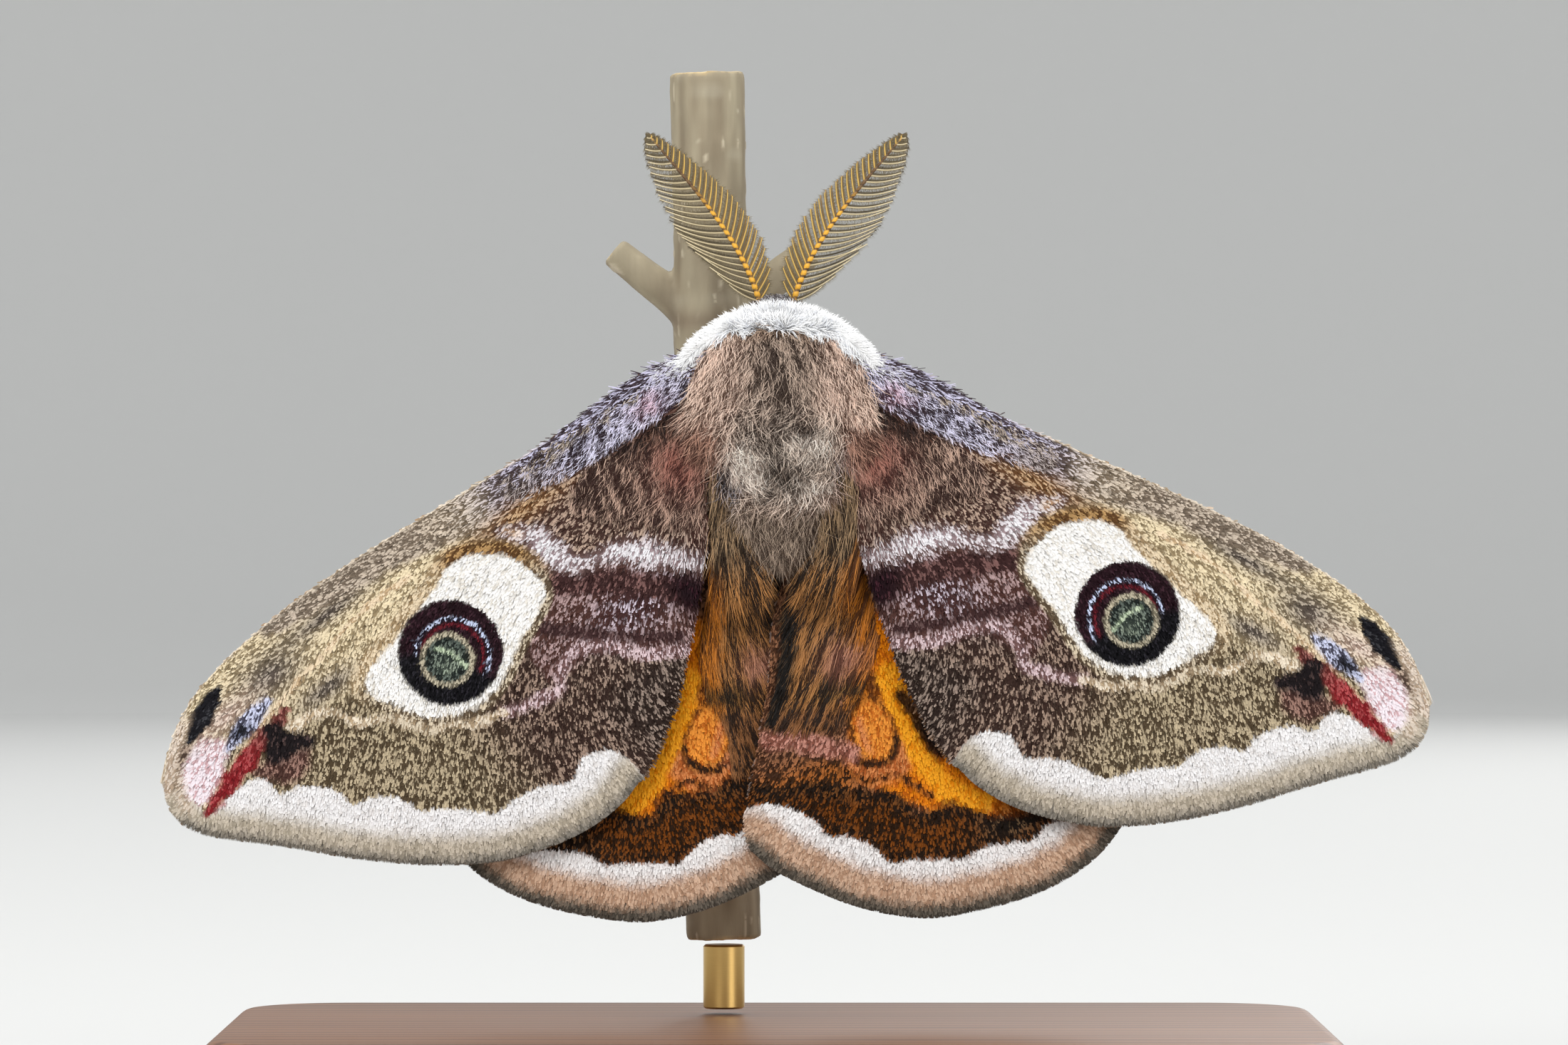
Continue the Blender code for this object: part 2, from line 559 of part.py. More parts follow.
def abdomen(parts, cutters):
    """Tapering abdomen, parted from the thorax."""
    points, radii = [], []
    for i in range(ABDOMEN_RINGS + 1):
        t = i / ABDOMEN_RINGS
        points.append(ABDOMEN_TOP.lerp(ABDOMEN_TAIL, t))
        radii.append(abdomen_radius(t))
    obj = tube("abdomen", points, radii, parts, sides=14)
    hair = new_collection("abdomen_hair")
    random_hair = random.Random(5)
    down = (ABDOMEN_TAIL - ABDOMEN_TOP).normalized()
    for ring in range(ABDOMEN_FUR_RINGS):
        t = 0.24 + 0.22 * ring
        for k in range(ABDOMEN_FUR_LOCKS):
            turn = math.radians(75 + 210 * (k + 0.5 * (ring % 2)) / (ABDOMEN_FUR_LOCKS - 0.5))
            outward = Vector((math.sin(turn), -math.cos(turn), 0))
            root = ABDOMEN_TOP.lerp(ABDOMEN_TAIL, t) + outward * abdomen_radius(t)
            length = ABDOMEN_LOCK_LENGTH * random_hair.uniform(0.9, 1.1)
            lock(f"hair_{ring}_{k}", root, outward, down, length, ABDOMEN_LOCK_WIDTH, ABDOMEN_LOCK_LIFT, hair)
    for k in range(TAIL_LOCKS):
        turn = math.radians(90 + 180 * k / (TAIL_LOCKS - 1))
        outward = Vector((math.sin(turn), -math.cos(turn), 0))
        root = ABDOMEN_TOP.lerp(ABDOMEN_TAIL, 0.9) + outward * abdomen_radius(0.9)
        length = TAIL_LOCK_LENGTH * random_hair.uniform(0.9, 1.1)
        lock(f"tail_{k}", root, outward, down, length, TAIL_LOCK_WIDTH, 0.0, hair)
    fuse(obj, hair)
    part_from(obj, thorax_form, cutters)
    return finish(obj, BROWN_FUR)


def antenna_path(side, at):
    point = bezier([ANTENNA_BASE, *ANTENNA_BEND, ANTENNA_TIP], at)
    return Vector((side * point.x + HEAD_CENTRE.x, point.y, point.z))


def comb_tooth(name, root, along, across, size, collection):
    """A side branch of the antenna, curling towards its tip."""
    length, width = TOOTH_LENGTH * size, TOOTH_WIDTH * (0.6 + 0.4 * size)
    lean = (across + along * TOOTH_LEAN).normalized()
    points = [root + lean * length * t + along * TOOTH_CURL * length * t * t for t in (0.0, 0.5, 0.85)]
    return tube(name, points, (width / 2, width * 0.42, width * 0.2), collection, sides=3)


def antenna(side_name, parts, cutters):
    """A tapering shaft with a comb of side branches along each edge."""
    side = SIDES[side_name]
    steps = 12
    points = [antenna_path(side, i / steps) for i in range(steps + 1)]
    radii = [SHAFT_RADIUS + (SHAFT_TIP_RADIUS - SHAFT_RADIUS) * i / steps for i in range(steps + 1)]
    obj = tube(f"antenna_{side_name}", points, radii, parts, sides=6)
    comb = new_collection("comb")
    for i in range(COMB_TEETH):
        t = COMB_START + (COMB_END - COMB_START) * i / (COMB_TEETH - 1)
        along = (antenna_path(side, t + 0.02) - antenna_path(side, t - 0.02)).normalized()
        size = 0.3 + 0.7 * math.sin(math.pi * (0.1 + 0.84 * i / (COMB_TEETH - 1))) ** 0.8
        for edge in (-1, 1):
            across = Vector((along.z, 0, -along.x)).normalized() * edge
            comb_tooth(f"tooth_{i}_{edge}", antenna_path(side, t), along, across, size, comb)
    fuse(obj, comb)
    part_from(obj, head_form, cutters)
    return finish(obj, ANTENNA_GOLD)


def perch_x(z):
    return PERCH_FOOT_X + PERCH_LEAN * z


def leg(pair, side_name, parts, cutters):
    """A leg from the chest to the side of the perch: thigh, shin and foot."""
    side = SIDES[side_name]
    root_z, foot_z = LEG_PAIRS[pair]
    stem_x = perch_x(foot_z)
    grip = stem_x + side * (PERCH_RADIUS + GAP + LEG_RADII[2] + 0.15 * MM)
    root = Vector((side * LEG_ROOT_X, LEG_ROOT_Y, root_z))
    knee_x = (grip if side < 0 else side * LEG_ROOT_X) + side * LEG_KNEE_OUT
    knee = Vector((knee_x, LEG_KNEE_Y, root_z * 0.6 + foot_z * 0.4 - LEG_KNEE_DROP))
    ankle = Vector((grip, PERCH_Y - 1.2 * MM, foot_z))
    toe = ankle + Vector((0, TARSUS_REACH, (foot_z - root_z) * 0.2))
    obj = tube(f"leg_{pair}_{side_name}", [root, knee, ankle, toe], LEG_RADII, parts, sides=7)
    part_from(obj, thorax_form, cutters)
    return finish(obj, LEG_BROWN)


def perch(parts):
    """A cut length of stem with a swollen joint and two pruned side twigs."""
    steps = 12
    points, radii = [], []
    for i in range(steps + 1):
        z = PERCH_BOTTOM + (PERCH_TOP - PERCH_BOTTOM) * i / steps
        points.append(Vector((perch_x(z), PERCH_Y, z)))
        radii.append(PERCH_RADIUS)
    obj = tube("perch", points, radii, parts, sides=14)
    stubs = new_collection("stubs")
    for name, side in SIDES.items():
        start = Vector((perch_x(NODE_Z), PERCH_Y, NODE_Z))
        lean = Vector((side * 0.78, 0, 0.62)).normalized()
        ends = [start, start + lean * (PERCH_RADIUS + STUB_LENGTH)]
        tube(f"stub_{name}", ends, (STUB_RADIUS * 1.2, STUB_RADIUS), stubs, sides=8)
    fuse(obj, stubs)
    return finish(obj, BARK)


def stand(parts):
    """A plain wooden plate and the short rod that carries the perch."""
    bm = bmesh.new()
    bmesh.ops.create_cube(bm, size=1)
    for vertex in bm.verts:
        vertex.co.x *= BASE_WIDTH
        vertex.co.y *= BASE_DEPTH
        vertex.co.z = (vertex.co.z + 0.5) * BASE_HEIGHT
    upright = [e for e in bm.edges if abs(e.verts[0].co.z - e.verts[1].co.z) > BASE_HEIGHT / 2]
    bmesh.ops.bevel(bm, geom=upright, offset=BASE_CORNER, segments=6, profile=0.5, affect="EDGES")
    top = [e for e in bm.edges if min(v.co.z for v in e.verts) > BASE_HEIGHT * 0.9 and len(e.link_faces) == 2
           and abs(e.link_faces[0].normal.z - e.link_faces[1].normal.z) > 0.5]
    bmesh.ops.bevel(bm, geom=top, offset=BASE_BEVEL, segments=2, profile=0.5, affect="EDGES")
    finish(object_from("stand_base", bm, parts), STAND_WOOD, roughness=0.45)
    foot, head_end = BASE_HEIGHT + GAP, PERCH_BOTTOM - GAP
    bm = bmesh.new()
    bmesh.ops.create_cone(bm, cap_ends=True, segments=20, radius1=ROD_RADIUS, radius2=ROD_RADIUS,
                          depth=head_end - foot)
    for vertex in bm.verts:
        vertex.co += Vector((perch_x(PERCH_BOTTOM), PERCH_Y, (foot + head_end) / 2))
    finish(object_from("stand_rod", bm, parts), ROD_METAL, roughness=0.35, metallic=1.0)


def build():
    clear_scene()
    parts = new_collection("southern_emperor_moth")
    cutters = new_collection("cutters")
    thorax(parts)
    head(parts, cutters)
    eyes(parts, cutters)
    collar(parts, cutters)
    abdomen(parts, cutters)
    for side_name in SIDES:
        forewing(side_name, parts, cutters)
        hindwing(side_name, parts, cutters)
        antenna(side_name, parts, cutters)
        for pair in LEG_PAIRS:
            leg(pair, side_name, parts, cutters)
    perch(parts)
    stand(parts)


build()
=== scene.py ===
"""Looks of a life-size male southern emperor moth on a cut stem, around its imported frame.

Forms are worked out in millimetres and written to meshes in metres. Wings use wing coordinates: out along
the wing from its hinge, then towards the tail. A coat is a colour pair, dark and light, with the share of
scales or hairs that take the light one.
"""
import itertools
import math

import bmesh
import bpy
import numpy as np
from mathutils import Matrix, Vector


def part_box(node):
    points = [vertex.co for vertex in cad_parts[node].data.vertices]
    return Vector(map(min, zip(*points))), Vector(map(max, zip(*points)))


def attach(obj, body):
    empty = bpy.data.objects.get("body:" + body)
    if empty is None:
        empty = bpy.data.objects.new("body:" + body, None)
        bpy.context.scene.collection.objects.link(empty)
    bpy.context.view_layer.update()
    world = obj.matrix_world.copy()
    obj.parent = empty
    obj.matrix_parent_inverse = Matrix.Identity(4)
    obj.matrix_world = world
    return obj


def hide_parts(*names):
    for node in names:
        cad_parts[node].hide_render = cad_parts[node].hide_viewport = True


MM = 0.001
BODY = "root"
PAINT, BAKE_MAP = "paint", "OFBake"
TUFT_PATCH = 0.003
GOLDEN_STEPS = (0.7548776662466927, 0.5698402909980532)
SIDES = {"left": -1, "right": 1}

# The photograph's framing: its size in pixels, its scale, and where the object's origin lies in it
PHOTO_WIDTH, PHOTO_HEIGHT = 2200, 1466
PIXELS_PER_MM = 26.9
PHOTO_X0, PHOTO_Z0, PHOTO_FOOT = 1088, 1301, 10.0
CAMERA_DISTANCE = 420.0
SENSOR_WIDTH = 36.0

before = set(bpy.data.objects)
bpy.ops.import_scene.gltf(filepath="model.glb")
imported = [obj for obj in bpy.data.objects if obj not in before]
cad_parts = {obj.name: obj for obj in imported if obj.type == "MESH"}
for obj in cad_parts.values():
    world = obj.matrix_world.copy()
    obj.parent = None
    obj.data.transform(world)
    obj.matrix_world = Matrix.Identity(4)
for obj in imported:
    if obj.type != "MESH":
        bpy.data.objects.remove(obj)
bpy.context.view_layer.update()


def srgb(red, green, blue):
    """Linear colour from screen values of 0 to 255."""
    screen = np.array((red, green, blue), float) / 255
    return np.where(screen < 0.04045, screen / 12.92, ((screen + 0.055) / 1.055) ** 2.4)


def smooth(x):
    """A share kept from 0 to 1 that eases in and out."""
    x = np.clip(x, 0.0, 1.0)
    return x * x * (3 - 2 * x)


def mix(a, b, share):
    """Blend two colours, or two arrays of them, by a share for each row."""
    share = np.asarray(share, float)[..., None]
    return a * (1 - share) + b * share


def blot(points, centre, reach, power=1.0):
    """A soft round mask: 1 at its centre and fading over its reach, more suddenly with a higher power."""
    return np.exp(-(((points - centre) / reach) ** 2).sum(1) ** power)


def normalised(vectors):
    return vectors / np.maximum(np.linalg.norm(vectors, axis=-1, keepdims=True), 1e-9)


HASH = np.array((73856093, 19349663, 83492791), np.int64)
HASH_ROUNDS = ((15, 2246822519), (13, 3266489917))
SEED_STEP = 7919


def scramble(cells, seed):
    """A repeatable random value from -1 to 1 for each whole-numbered cell."""
    mixed = cells @ HASH[:cells.shape[-1]] + seed * SEED_STEP
    for shift, factor in HASH_ROUNDS:
        mixed = (mixed ^ (mixed >> shift)) * factor % 2 ** 32
    return mixed / 2 ** 31 - 1


def noise(points, size, seed):
    """Smooth random values from -1 to 1, with bumps of about the given size."""
    cells = points / size
    corner = np.floor(cells).astype(np.int64)
    inside = smooth(cells - corner)
    total = np.zeros(len(points))
    for step in itertools.product((0, 1), repeat=points.shape[1]):
        weight = np.prod(np.where(step, inside, 1 - inside), axis=1)
        total += weight * scramble(corner + np.array(step, np.int64), seed)
    return total


def through(points, at):
    """Points at fractions of a smooth curve's length through given points."""
    points, at = np.array(points, float), np.asarray(at, float)
    steps = np.linalg.norm(np.diff(points, axis=0), axis=1)
    lengths = np.concatenate([[0], np.cumsum(steps)])
    wanted = np.clip(at, 0, 1) * lengths[-1]
    i = np.clip(np.searchsorted(lengths, wanted, side="right") - 1, 0, len(points) - 2)
    t = ((wanted - lengths[i]) / steps[i])[..., None]
    padded = np.vstack([2 * points[0] - points[1], points, 2 * points[-1] - points[-2]])
    p0, p1, p2, p3 = (padded[i + k] for k in range(4))
    return 0.5 * (2 * p1 + (p2 - p0) * t + (2 * p0 - 5 * p1 + 4 * p2 - p3) * t * t
                  + (3 * p1 - p0 - 3 * p2 + p3) * t ** 3)


def bezier(controls, at):
    """Points on the curve that control points pull into shape."""
    level = [np.asarray(c, float) for c in controls]
    at = np.asarray(at, float)[..., None]
    while len(level) > 1:
        level = [a * (1 - at) + b * at for a, b in zip(level, level[1:])]
    return level[0]


def nearest_on(points, line):
    """Gap of points from a chain of segments, the nearest place on it, and whether it goes round them."""
    gaps = np.full(len(points), np.inf)
    at = np.zeros(len(points))
    inside = np.zeros(len(points), bool)
    for k, (a, b) in enumerate(zip(line, line[1:])):
        step, offset = b - a, points - a
        share = np.clip(offset @ step / max(step @ step, 1e-12), 0, 1)
        gap = np.hypot(offset[:, 0] - share * step[0], offset[:, 1] - share * step[1])
        closer = gap < gaps
        gaps[closer] = gap[closer]
        at[closer] = (k + share[closer]) / (len(line) - 1)
        if step[1]:
            crossed = (a[1] > points[:, 1]) != (b[1] > points[:, 1])
            inside ^= crossed & (offset[:, 0] < step[0] * offset[:, 1] / step[1])
    return gaps, at, inside


def near(points, line, reach):
    """Which points lie in a line's box, widened by a reach."""
    return ((points > line.min(0) - reach) & (points < line.max(0) + reach)).all(1)


def to_curve(points, curve, samples=50, reach=3.0):
    """Gap of points from a smooth open curve, up to a reach, and how far along it the nearest place is."""
    line = through(curve, np.linspace(0, 1, samples))
    gaps, at = np.full(len(points), reach), np.zeros(len(points))
    close = near(points, line, reach)
    gap, at[close], _ = nearest_on(points[close], line)
    gaps[close] = np.minimum(gap, reach)
    return gaps, at


def depth_inside(points, outline, samples=70, reach=3.0):
    """Distance from a smooth closed outline, above zero inside it and no lower than the reach outside."""
    line = through([*outline, outline[0]], np.linspace(0, 1, samples))
    depth = np.full(len(points), -reach)
    close = near(points, line, reach)
    gap, _, inside = nearest_on(points[close], line)
    depth[close] = np.where(inside, gap, -np.minimum(gap, reach))
    return depth


class Coat:
    """Dark colour, light colour and the share of light ones, at a number of places."""

    def __init__(self, count, dark, light, share):
        self.dark = np.tile(srgb(*dark), (count, 1))
        self.light = np.tile(srgb(*light), (count, 1))
        self.share = np.full(count, float(share))

    def lay(self, mask, dark, light, share):
        """Cover what is there with another pair where the mask says."""
        mask = np.clip(mask, 0, 1)
        self.dark = mix(self.dark, srgb(*dark), mask)
        self.light = mix(self.light, srgb(*light), mask)
        self.share = self.share * (1 - mask) + share * mask

    def pick(self, chance, vary):
        """One colour for each place; chance and vary are random, from 0 to 1."""
        lit = smooth((self.share - chance) / 0.22 + 0.5)
        colour = mix(self.dark, self.light, lit)
        spread = 0.36 - 0.26 * colour.max(axis=1)
        return colour * (1 + (vary - 0.5) * spread)[:, None]


# Shapes of the wings, in wing coordinates
FOREWING = {
    "costa": [(-2.6, -1.2), (-0.6, -2.5), (3.0, -3.0), (7.0, -3.0), (11.0, -3.35), (15.1, -3.75),
              (19.1, -4.1), (23.4, -4.25), (27.7, -3.95), (30.6, -3.3), (32.8, -2.1), (34.4, -0.6)],
    "margin": [(34.4, -0.6), (34.95, 0.9), (34.3, 2.8), (31.0, 6.05), (28.4, 8.7), (25.5, 11.2),
               (22.6, 13.1), (20.6, 13.9), (18.7, 14.4), (17.0, 14.6), (15.3, 14.5), (14.1, 14.15)],
    "inner": [(-2.6, 0.6), (-0.6, 1.0), (0.9, 2.1), (2.4, 4.3), (3.6, 6.1), (6.1, 8.6),
              (8.8, 11.0), (10.3, 12.2), (12.1, 13.3), (14.1, 14.15)],
    "veins": [(0.08, 0.02), (0.18, 0.12), (0.27, 0.26), (0.38, 0.41),
              (0.54, 0.56), (0.63, 0.72), (0.72, 0.88), (0.88, 0.97)],
}
HINDWING = {
    "costa": [(-1.6, -1.2), (0.2, -2.0), (3.1, -3.5), (7.4, -6.0), (12.5, -8.3), (17.5, -10.0), (20.8, -9.9)],
    "margin": [(20.8, -9.9), (23.0, -8.7), (24.9, -6.6), (25.9, -4.4), (26.3, -1.7), (26.1, 1.7),
               (25.5, 4.3), (23.8, 7.3), (21.1, 10.3), (19.5, 11.4)],
    "inner": [(-1.6, 0.6), (1.0, 1.0), (3.4, 2.6), (5.3, 4.4), (6.8, 5.7), (8.6, 6.8), (11.5, 8.0),
              (15.5, 10.1), (18.0, 11.4), (19.5, 11.4)],
    "veins": [(0.10, 0.06), (0.24, 0.22), (0.36, 0.38), (0.48, 0.53),
              (0.60, 0.68), (0.72, 0.83), (0.88, 0.95)],
}
WING_Y, WING_DROOP, WING_CROWN = -2.0, 0.17, 4.0
TAIL_BULGE, TAIL_BULGE_WIDTH = 0.8, 3.5
WING_LAYER, MIDDLE_REACH, COSTA_BEND = 1.05, 6.0, 0.8
VEIN_FORK, VEIN_HALF_WIDTH, VEIN_HEIGHT = 0.36, 0.22, 0.10
MEMBRANE = 0.09
EDGE = 0.985


def wing_patch(shape, across, along):
    """Wing coordinates from fractions across the wing, costa to inner margin, and along it to the margin."""
    costa, inner = through(shape["costa"], along), through(shape["inner"], along)
    shoulder, groin = np.array(shape["costa"][0]), np.array(shape["inner"][0])
    apex, tornus = np.array(shape["margin"][0]), np.array(shape["margin"][-1])
    c, a = np.asarray(across)[..., None], np.asarray(along)[..., None]
    root = shoulder * (1 - c) + groin * c
    margin = through(shape["margin"], across)
    corners = root * (1 - a) + (apex * (1 - c) + tornus * c) * a
    return costa * (1 - c) + inner * c + root * (1 - a) + margin * a - corners


def wing_plane(x):
    """Depth of the surface that all four wings lie along."""
    droop = WING_DROOP * (np.hypot(x, WING_CROWN) - WING_CROWN)
    return WING_Y + droop - TAIL_BULGE * np.exp(-(x / TAIL_BULGE_WIDTH) ** 2)


class Wing:
    """One wing: its shape, side, hinge, slant and depth behind the common surface."""

    def __init__(self, kind, side_name, hinge, angle):
        self.kind, self.side_name, self.side = kind, side_name, SIDES[side_name]
        self.name = f"{kind}_{side_name}"
        self.shape = FOREWING if kind == "forewing" else HINDWING
        self.hinge, self.angle = hinge, math.radians(angle)

    def depth(self, x, points):
        """How far a place lies behind the common surface."""
        if self.kind == "forewing":
            return COSTA_BEND * smooth((-1.0 - points[..., 1]) / 3.5) * smooth((points[..., 0] - 2.0) / 8.0)
        under = WING_LAYER if self.side_name == "left" else 0.0
        return WING_LAYER + under * smooth((x + MIDDLE_REACH) / MIDDLE_REACH)

    def place(self, points, rise):
        """Millimetres in the object's frame; rise is towards the front of the wing."""
        out, back = points[..., 0], points[..., 1]
        x = self.hinge[0] + self.side * (out * math.cos(self.angle) - back * math.sin(self.angle))
        z = self.hinge[1] - (out * math.sin(self.angle) + back * math.cos(self.angle))
        return np.stack([x, wing_plane(x) + self.depth(x, points) - rise, z], axis=-1)

    def locate(self, x, z):
        """Wing coordinates of a place in the object's frame."""
        along, down = self.side * (x - self.hinge[0]), self.hinge[1] - z
        out = along * math.cos(self.angle) + down * math.sin(self.angle)
        back = -along * math.sin(self.angle) + down * math.cos(self.angle)
        return np.stack([out, back], axis=-1)


WINGS = [Wing("forewing", "left", (-4.2, 37.36), 36.5), Wing("forewing", "right", (3.98, 37.55), 28.8),
         Wing("hindwing", "left", (-3.83, 36.06), 75.0), Wing("hindwing", "right", (3.6, 36.06), 72.0)]

# Markings of the forewing, in wing coordinates
EYE_CENTRE, EYE_RADIUS = np.array((18.0, 2.86)), 2.74
EYE_RING_CENTRE, EYE_RING = np.array((18.35, 3.08)), (1.17, 1.46)
EYE_ARC_CENTRE, EYE_ARC_RADIUS, EYE_ARC_HALF = np.array((18.0, 3.08)), 1.95, math.radians(112)
EYE_ARC_MIDDLE = np.array((-0.784, -0.622))
EYE_STREAK = [(18.45, 2.25), (17.95, 3.0), (17.75, 3.95)]
WHITE_PATCH = [(16.6, -0.35), (15.4, -0.78), (14.1, -0.55), (12.9, 0.25), (12.15, 1.4), (11.9, 2.6),
               (12.3, 3.5), (13.5, 4.1), (14.9, 4.7), (16.3, 5.5), (17.6, 5.9), (19.0, 5.9), (20.5, 5.2),
               (21.5, 4.1), (22.2, 3.0), (22.7, 1.9), (22.3, 1.3), (21.3, 0.9), (20.2, 0.65), (18.5, 0.2)]
FIRST_BAND = [(11.9, -0.5), (11.0, 0.5), (10.6, 1.8), (10.1, 2.9), (9.0, 3.45), (8.0, 3.75), (7.0, 4.4),
              (6.0, 5.4), (5.1, 6.4), (4.5, 7.1)]
DARK_BAND = [(11.8, 1.9), (11.3, 3.1), (9.7, 4.3), (7.9, 5.9), (6.4, 7.4), (5.6, 8.5)]
DARK_HEART = np.array((5.95, 7.75))
SECOND_BAND = [(13.2, 4.8), (12.3, 5.7), (11.2, 6.6), (10.0, 7.7), (8.9, 8.5), (7.9, 9.3)]
PINK_BAND = [(17.6, 7.0), (16.4, 7.4), (14.7, 7.8), (13.9, 7.2), (13.2, 6.7), (12.15, 6.8), (10.95, 7.6),
             (9.8, 8.9), (8.1, 10.0)]
CREAM_LINE = [(28.2, 1.1), (26.0, 1.15), (24.7, 1.8), (24.1, 2.9), (22.6, 3.7), (21.9, 4.6), (21.2, 5.45),
              (20.0, 6.05), (18.9, 6.65), (17.6, 7.0)]
SCALLOPS = [(33.3, 2.2), (32.0, 2.0), (30.7, 1.95), (29.8, 2.3), (29.6, 3.55), (28.6, 3.75), (27.6, 4.5),
            (27.0, 5.5), (26.88, 6.2), (26.1, 6.4), (25.0, 7.0), (24.4, 7.9), (24.15, 8.6), (23.4, 9.0),
            (22.4, 9.75), (21.6, 10.5), (21.1, 11.0), (19.7, 11.0), (18.1, 11.35), (16.85, 12.0),
            (15.7, 11.35), (14.6, 11.65), (13.9, 12.5), (13.75, 13.6), (13.9, 14.6)]
RED_STREAK = [(33.3, 2.05), (31.5, 1.5), (29.6, 0.92), (28.0, 0.5), (26.7, 0.15)]
BLACK_WEDGE = [(28.7, 0.9), (28.2, 0.2), (27.5, 0.3), (27.3, 1.2), (26.4, 2.0), (26.6, 2.5), (27.6, 2.35),
               (28.6, 2.3), (29.1, 1.6)]
WINE_PATCH = [(30.2, 1.7), (28.2, 1.7), (27.0, 2.4), (27.6, 3.3), (29.0, 3.3), (29.7, 2.5)]
APICAL_SPOT = [(29.0, -2.85), (30.0, -2.45), (31.9, -1.55)]
SECOND_SPOT = [(27.2, -0.85), (28.6, -0.55), (30.4, -0.1)]
PINK_TIP = [(31.2, -1.4), (30.2, -0.4), (31.6, 0.9), (33.2, 1.5), (33.7, 0.3), (32.8, -0.7)]
CREAM_VEIN = [(33.2, 1.6), (29.5, 0.35), (26.25, -0.5), (23.8, -0.9), (20.7, -1.6), (17.5, -1.6)]
COSTAL_STRIPE = [(-3.5, -0.3), (0.3, -0.45), (4.0, -0.45), (7.5, -0.7), (11.0, -1.0), (14.3, -1.6),
                 (19.0, -2.6), (25.0, -3.35), (25.0, -5.5), (12.0, -5.0), (-3.5, -3.5)]
BASE_SHADOW = [(-0.5, -0.2), (2.0, -0.15), (4.6, -0.2)]
OLIVE_FIELD = [(11.9, -1.2), (15.0, -1.2), (17.5, -0.3), (20.5, 0.5), (23.0, 1.4), (25.0, 1.2), (28.0, 0.3),
               (31.3, -0.7), (32.0, -5.0), (22.0, -5.5), (12.0, -5.0)]
BASAL_FIELD = [(-3.5, -0.6), (0.3, -0.5), (4.0, -0.45), (7.5, -0.6), (11.4, -0.9), (10.9, 0.5), (10.5, 1.8),
               (10.0, 2.9), (8.0, 3.6), (6.0, 5.2), (4.3, 7.2), (2.0, 7.0), (-3.5, 3.0)]
MIDDLE_FIELD = [(11.9, 0.0), (11.0, 1.8), (10.3, 3.1), (8.0, 4.0), (6.2, 5.6), (4.6, 7.4), (6.3, 10.0),
                (8.2, 10.3), (10.2, 8.9), (12.0, 7.3), (14.5, 7.4), (14.5, 5.0), (12.6, 4.0), (11.9, 2.6)]


EDGE_SAMPLES = 90


def margin_of(shape, points):
    """Distance of points from a wing's outer margin."""
    return to_curve(points, shape["margin"], EDGE_SAMPLES)[0]


class Marker:
    """Masks with ragged edges for the outlines and lines that mark a wing."""

    def __init__(self, points, ragged):
        self.points, self.ragged = points, ragged

    def within(self, outline, soft):
        return smooth(0.5 + (depth_inside(self.points, outline) + self.ragged) / soft)

    def along(self, curve, half, soft, taper=None):
        gap, at = to_curve(self.points, curve)
        width = half * (taper(at) if taper else 1.0)
        return smooth(0.5 + (width - gap + self.ragged) / soft)


def forewing_coat(points):
    """Markings of the forewing's upper side, each laid over those before it."""
    mark = Marker(points, 0.10 * noise(points, 0.32, 5) + 0.07 * noise(points, 0.9, 6))
    coat = Coat(len(points), (54, 37, 31), (160, 136, 120), 0.34)
    lay_fields(coat, mark)
    lay_bands(coat, mark)
    lay_white_patch(coat, mark)
    lay_eyespot(coat, mark)
    lay_tip(coat, mark)
    lay_fringe(coat, mark, FOREWING, SCALLOPS, FOREWING_FRINGE)
    lay_over_fringe(coat, mark)
    return coat


def lay_fields(coat, mark):
    """The wide fields: tan and olive outside, lilac along the front edge, brown further in."""
    points, (out, back) = mark.points, mark.points.T
    coat.lay(smooth((out - 16.5) / 5) * smooth((back + 2) / 3), (80, 66, 48), (190, 173, 143), 0.45)
    coat.lay(smooth((14.5 - out) / 3) * smooth((back - 8.5) / 2), (44, 32, 27), (150, 132, 120), 0.31)
    coat.lay(mark.within(OLIVE_FIELD, 1.0), (146, 128, 97), (234, 216, 180), 0.62)
    for centre, reach in (((26.4, -1.8), (2.0, 1.1)), ((24.3, 0.5), (2.0, 0.6)), ((22.0, -2.6), (3.0, 0.5))):
        coat.lay(0.95 * blot(points, centre, reach), (70, 62, 58), (160, 148, 136), 0.38)
    far = smooth((out - 8) / 9)
    stripe = mark.within(COSTAL_STRIPE, 0.6)
    coat.lay(stripe * (1 - far), (68, 56, 62), (206, 202, 226), 0.44)
    coat.lay(stripe * far, (112, 98, 84), (196, 180, 162), 0.47)
    basal = mark.within(BASAL_FIELD, 0.5)
    coat.lay(basal, (66, 44, 38), (184, 158, 140), 0.36)
    coat.lay(basal * smooth((5.0 - out) / 4), (92, 56, 48), (150, 112, 100), 0.4)
    coat.lay(blot(points, (10.2, -0.9), (3.2, 0.7)), (110, 74, 44), (206, 170, 130), 0.45)
    coat.lay(mark.within(MIDDLE_FIELD, 0.5), (78, 50, 44), (174, 146, 144), 0.36)
    coat.lay(blot(points, (8.6, 6.6), (2.6, 1.3)) * 0.8, (62, 38, 40), (214, 204, 220), 0.27)


